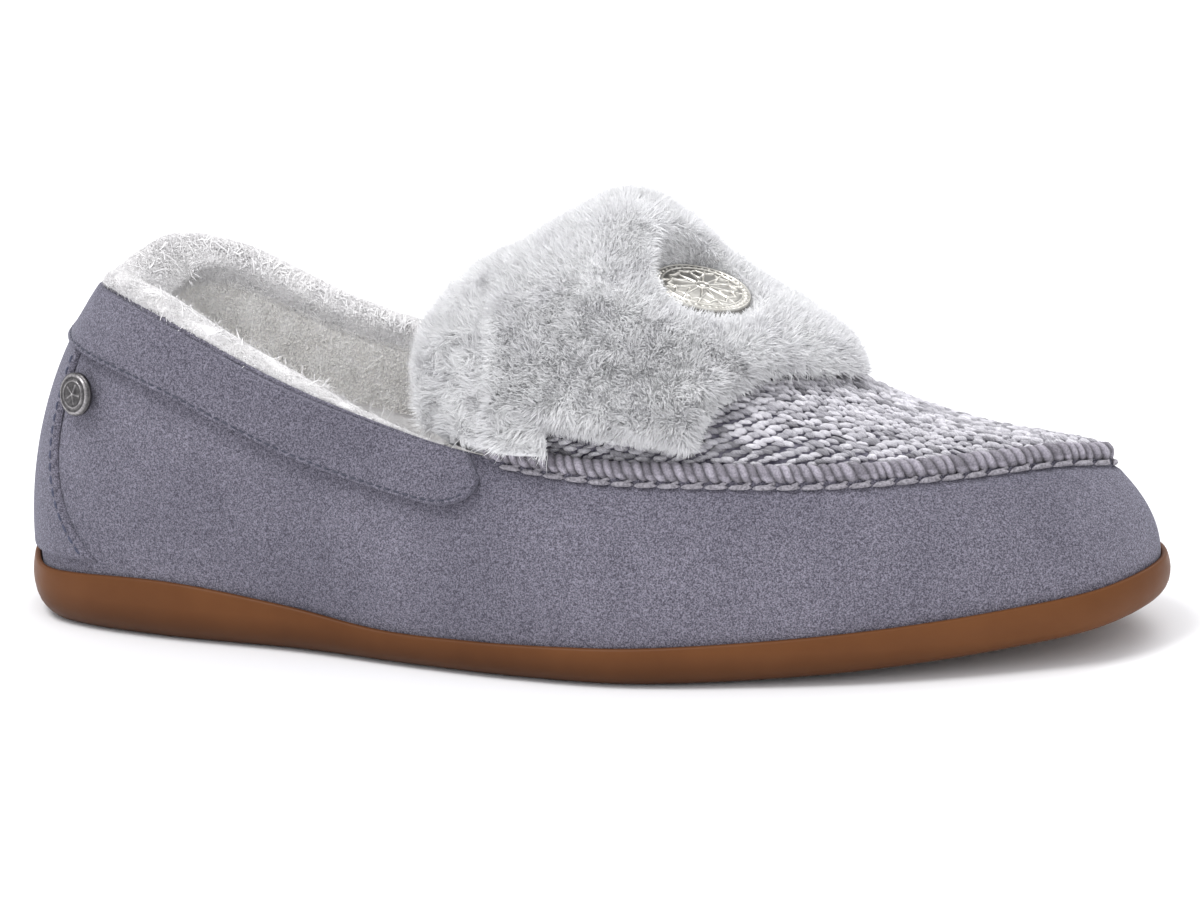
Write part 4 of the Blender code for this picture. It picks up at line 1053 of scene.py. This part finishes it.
def cuff_over(u, v):
    """The cuff's upper skin: the instep raised by the fur's depth, rounding down at all four edges."""
    x, angle = cuff_place(u, v)
    depth = cuff_depth(x, angle)
    edge = np.minimum(np.clip(u, 0, 1), np.clip(1 - u, 0, 1)) * 76 * MM
    side = np.minimum(np.clip(v, 0, 1), np.clip(1 - v, 0, 1)) * 150 * MM
    near = np.clip(1 - np.minimum(edge, side) / (5.5 * MM), 0, 1)
    depth = depth * np.sqrt(np.clip(1 - near**2, 0.0, 1)) * 0.95
    base = PLUG_INSET - CUFF_LIFT
    points = arch(station_at(x), angle, base - depth, -CUFF_LIFT - depth)
    tufted = lumps(points, 10 * MM, 71) + 0.3 * lumps(points, 4 * MM, 72)
    lumped = points + 0.8 * MM * tufted[..., None] * UP
    return lumped - dimple(lumped)[..., None] * CONCHO_AXIS


def cuff_under(u, v):
    """The backing cloth's underside, 2.2 mm above the plug."""
    x, angle = cuff_place(u, v)
    base = PLUG_INSET - CUFF_LIFT
    return arch(station_at(x), angle, base, -CUFF_LIFT)


def pillow(over, under):
    """A closed skin between two grids of the same size, joined along their rims."""
    rows, columns = over.shape[:2]
    rim_row = np.concatenate([
        np.arange(columns), np.arange(1, rows) * columns + columns - 1,
        (rows - 1) * columns + np.arange(columns - 2, -1, -1), np.arange(rows - 2, 0, -1) * columns,
    ])
    far = rim_row + rows * columns
    walls = np.stack([rim_row, far, np.roll(far, -1), np.roll(rim_row, -1)], 1)
    sheet = grid_faces(rows, columns)
    faces = np.concatenate([sheet, sheet[:, ::-1] + rows * columns, walls])
    return np.concatenate([over.reshape(-1, 3), under.reshape(-1, 3)]), faces


u, v = np.meshgrid(np.linspace(0, 1, 130), np.linspace(0, 1, 190), indexing="ij")
points, faces = pillow(cuff_over(u, v), cuff_under(u, v) + 0.9 * MM * UP)
cuff_base = tidy(mesh_of("cuff_fur_base", points, faces))
cuff_pile.wear(cuff_base)
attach(cuff_base, "cuff")
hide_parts("cuff_fur")

for number, (start, end) in enumerate(((0.0, 0.28), (0.28, 0.5), (0.5, 0.75), (0.75, 1.0))):
    u, v, roots, normals = scatter(cuff_over, blade_count(196000), 80 + number, (0.0, 1.0), (start, end))
    angle = (2 * v - 1) * CUFF_ANGLE
    outward = np.stack([0.25 + 0 * u, np.sin(angle), -0.35 - 0.25 * np.abs(np.sin(angle))], 1)
    length = (3.9 + 0.4 * lumps(roots, 6 * MM, 90)) * MM
    from_concho = np.linalg.norm(roots - CONCHO, axis=1)
    length = length * np.clip(from_concho / (7 * MM) - 1.15, 0.1, 1)
    tuft = fur_piece(
        cuff_pile, f"cuff_pile_{number}",
        *blades(
            roots - 0.9 * MM * normals, normals, 0.35 * outward, length, 0.26 * MM, 100 + 9 * number,
            clump=2.4 * MM, gather=0.26,
        ),
    )
    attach(tuft, "cuff")

u, v = np.meshgrid(np.linspace(0.0, 1.0, 90), np.linspace(0, 1, 120), indexing="ij")
points, faces = pillow(cuff_under(u, v) + 0.8 * MM * UP, cuff_under(u, v))
backing = tidy(mesh_of("cuff_backing_cloth", points, faces))
knit = Finish("knit_backing", Roughness=1.0, Specular_IOR_Level=0.1)
wave = {"Vector": knit.place, "Scale": 420, "Distortion": 2, "Detail": 2}
loops = knit.node("ShaderNodeTexWave", wave).outputs["Fac"]
knit.feed(
    Base_Color=knit.ramp(loops, [(0.2, (0.10, 0.10, 0.115)), (0.8, (0.22, 0.215, 0.24))]),
    Normal=knit.bump(loops, 0.6, 0.0004),
)
knit.wear(backing)
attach(backing, "cuff")
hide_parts("cuff_backing")


# ---------------------------------------------------------------------------------------------
# Tongue: the padded fur roll that stands in the throat behind the fold. It fills the space between
# the topline's fur and the cuff.
TONGUE_LINE = (  # x behind or ahead of the fold, and height above the instep's crest at the fold
    (-14.0, -25.0), (-16.5, -19.0), (-17.0, -13.5), (-14.5, -7.5), (-10.0, -2.5),
    (-4.0, 1.5), (2.5, 3.6), (9.0, 4.0), (15.0, 2.0),
)


def tongue_skin(u, v):
    """A roll across the throat: u along TONGUE_LINE from its rear foot to its front, v over the instep."""
    angle = (2 * np.clip(v, 0, 1) - 1) * math.radians(84)
    low = np.abs(np.sin(angle))
    line = np.array(TONGUE_LINE) * MM
    place = np.clip(u, -0.01, 1.01) * (len(line) - 1)
    x = FOLD_X + smooth(np.arange(len(line)), line[:, 0], place) + (5.0 * low**2) * MM
    height = smooth(np.arange(len(line)), line[:, 1], place) * (1 - 0.35 * low**2)
    raised = height + crest(np.array(FOLD_X)) - crest(x)
    points = arch(station_at(x), angle, 1.5 * MM - np.clip(raised, -4 * MM, None), -raised)
    return points + 0.5 * MM * lumps(points, 6 * MM, 131)[..., None] * UP


u, v = np.meshgrid(np.linspace(0, 1, 60), np.linspace(0, 1, 130), indexing="ij")
over = tongue_skin(u, v)
under = over.copy()
middle = over.mean(axis=0, keepdims=True)
under = middle + (over - middle) * 0.35 - 3.0 * MM * UP
points, faces = pillow(over, under)
tongue = tidy(mesh_of("tongue_fur_base", points, faces))
cuff_pile.wear(tongue)
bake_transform(tongue)
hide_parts("tongue_fur")
u, v, roots, normals = scatter(tongue_skin, blade_count(190000), 140)
angle = (2 * v - 1) * math.radians(82)
comb = np.stack([-0.35 + 0 * u, 0.8 * np.sin(angle), -0.3 + 0 * u], 1)
tuft = fur_piece(
    cuff_pile, "tongue_pile",
    *blades(roots - 1.0 * MM * normals, normals, 0.4 * comb, 4.6 * MM + 0 * u, 0.22 * MM, 150),
)
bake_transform(tuft)


# ---------------------------------------------------------------------------------------------
# Medallion: a stamped and plated disc, slightly domed, with a beaded rim and a plain geometric
# rosette. Heel rivet: a small antique pewter cap with two rings. Both are generic designs.
def relief_disc(name, centre, axis, radius, thickness, height):
    """A disc turned about axis whose top face is raised by height(share of radius, turn angle)."""
    axis = axis / np.linalg.norm(axis)
    side = unit(np.cross(axis, np.array([0.0, 1.0, 0.0])))
    front = np.cross(axis, side)
    share = np.linspace(0.002, 1, 110)
    turn = np.linspace(0, 2 * np.pi, 288, endpoint=False)
    s, a = np.meshgrid(share, turn, indexing="ij")
    lift = thickness / 2 + height(s, a)
    lift = np.where(s > 0.985, thickness / 2 - 0.3 * MM, lift)
    top = centre + (s * radius * np.cos(a))[..., None] * side + (s * radius * np.sin(a))[..., None] * front
    under = top[::-6] - (thickness / 2) * axis
    top = top + lift[..., None] * axis
    body = np.concatenate([top, under])
    relief = height(s, a)
    ring_low = relief.min(axis=1)
    around = np.min([np.roll(ring_low, step) for step in range(-6, 7)], axis=0)
    raised = relief - around[:, None]
    tone = np.full(body.shape[:2], 0.5)
    tone[: len(top)] = 0.22 + 0.78 * np.clip(raised / (0.22 * MM), 0, 1)
    faces = grid_faces(*body.shape[:2], close_columns=True)
    return tidy(mesh_of(name, body.reshape(-1, 3), faces, tone=tone.ravel()))


def rosette(s, a):
    """Six petals of straight ribs inside a ring, a beaded border and a gentle dome."""
    sector = np.abs(((a / (np.pi / 3)) % 1) - 0.5) * 2
    across = np.abs(s * np.cos((sector - 0.5) * 1.05) - 0.62)
    lattice = np.minimum(across, np.abs(s * np.sin(sector * 1.05) - 0.3))
    ribs = np.exp(-((lattice / 0.022) ** 2)) * (s < 0.8)
    spoke = np.exp(-(((sector - 0.5) * s / 0.03) ** 2)) * (s < 0.66) * (s > 0.16)
    rings = sum(np.exp(-(((s - where) / 0.014) ** 2)) for where in (0.14, 0.82, 0.97))
    beads_round = np.exp(-(((s - 0.895) / 0.038) ** 2)) * (0.5 + 0.5 * np.cos(a * 40))
    return 0.6 * MM * (1 - s**2) + 0.30 * MM * (ribs + spoke + rings + beads_round)


silver = Finish("champagne_silver", Metallic=1.0, Roughness=0.3)
patina = silver.noise(420, 4, 0.65)
plated = silver.ramp(patina, [(0.3, (0.58, 0.56, 0.51)), (0.65, (0.82, 0.80, 0.75))])
silver.feed(
    Base_Color=silver.mix(1.0, plated, silver.attribute("tone"), "MULTIPLY"),
    Roughness=silver.node("ShaderNodeMapRange", {"Value": patina, "To Min": 0.42, "To Max": 0.22}).outputs[0],
    Normal=silver.bump(silver.noise(1500, 3), 0.15, 0.0002),
)
concho = relief_disc("medallion", CONCHO, CONCHO_AXIS, 11.2 * MM, 1.8 * MM, rosette)
silver.wear(concho)
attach(concho, "cuff")
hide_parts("concho")


def rivet_rings(s, a):
    rings = np.exp(-(((s - 0.86) / 0.05) ** 2)) + 0.7 * np.exp(-(((s - 0.62) / 0.035) ** 2))
    star = np.exp(-(((np.abs(((a / (np.pi / 2.5)) % 1) - 0.5) * 2 * s) / 0.06) ** 2)) * (s < 0.5)
    return 0.55 * MM * (1 - s**3) + 0.22 * MM * rings + 0.14 * MM * star


pewter = Finish("antique_pewter", Metallic=1.0, Roughness=0.38)
tarnish = pewter.noise(900, 4, 0.7)
cast = pewter.ramp(tarnish, [(0.35, (0.20, 0.19, 0.20)), (0.65, (0.52, 0.50, 0.50))])
pewter.feed(
    Base_Color=pewter.mix(1.0, cast, pewter.attribute("tone"), "MULTIPLY"),
    Normal=pewter.bump(tarnish, 0.3, 0.0003),
)
cap_low, cap_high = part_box("heel_rivet_cap")
cap_centre = np.array((cap_low + cap_high) / 2) - ORIGIN
post_low, post_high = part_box("heel_rivet_post")
cap_axis = unit(cap_centre - (np.array((post_low + post_high) / 2) - ORIGIN))
rivet = relief_disc("heel_rivet_face", cap_centre, cap_axis, 4.9 * MM, 1.2 * MM, rivet_rings)
pewter.wear(rivet)
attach(rivet, "root")
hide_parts("heel_rivet_cap")


# ---------------------------------------------------------------------------------------------
# Inside: the hidden layers keep their CAD shapes, and take finishes of foam, pressed board, fleece
# and metal.
fleece = Finish("cream_fleece", Roughness=1.0, Specular_IOR_Level=0.05, Sheen_Weight=0.4)
nubs = fleece.noise(520, 4, 0.7)
fleece.feed(
    Base_Color=fleece.ramp(nubs, [(0.3, (0.93, 0.90, 0.86)), (0.65, (0.985, 0.96, 0.93))]),
    Normal=fleece.bump(nubs, 0.9, 0.0015),
)
foam = Finish("foam", Roughness=0.9)
cells = foam.node("ShaderNodeTexVoronoi", {"Vector": foam.place, "Scale": 900}).outputs["Distance"]
foam.feed(
    Base_Color=foam.ramp(foam.noise(60), [(0.3, (0.68, 0.65, 0.58)), (0.7, (0.78, 0.75, 0.69))]),
    Normal=foam.bump(cells, 0.4, 0.0004),
)
board = Finish("pressed_board", Roughness=0.85)
flecks = board.noise(700, 5, 0.7)
board.feed(
    Base_Color=board.ramp(flecks, [(0.35, (0.40, 0.31, 0.20)), (0.65, (0.60, 0.50, 0.36))]),
    Normal=board.bump(flecks, 0.3, 0.0003),
)
stiffener = Finish("stiffener", Roughness=0.8)
felt = stiffener.noise(800, 4, 0.7)
stiffener.feed(
    Base_Color=stiffener.ramp(felt, [(0.35, (0.60, 0.58, 0.52)), (0.65, (0.76, 0.74, 0.68))]),
    Normal=stiffener.bump(felt, 0.3, 0.0003),
)
steel = Finish("shank_steel", Metallic=1.0, Roughness=0.35)
drawn = steel.noise(900, 3)
steel.feed(
    Base_Color=steel.ramp(drawn, [(0.35, (0.50, 0.49, 0.47)), (0.65, (0.66, 0.65, 0.63))]),
    Normal=steel.bump(drawn, 0.1, 0.0002),
)
CAD_FINISHES = {
    "vamp_lining": fleece, "plug_lining": fleece, "midsole": foam,
    "footbed": foam, "insole_board": board, "heel_counter": stiffener, "toe_puff": stiffener,
    "concho_post": steel, "concho_washer": steel, "heel_rivet_post": steel, "heel_rivet_burr": steel,
}
for node, finish in CAD_FINISHES.items():
    finish.wear(frame["nodes"][node])
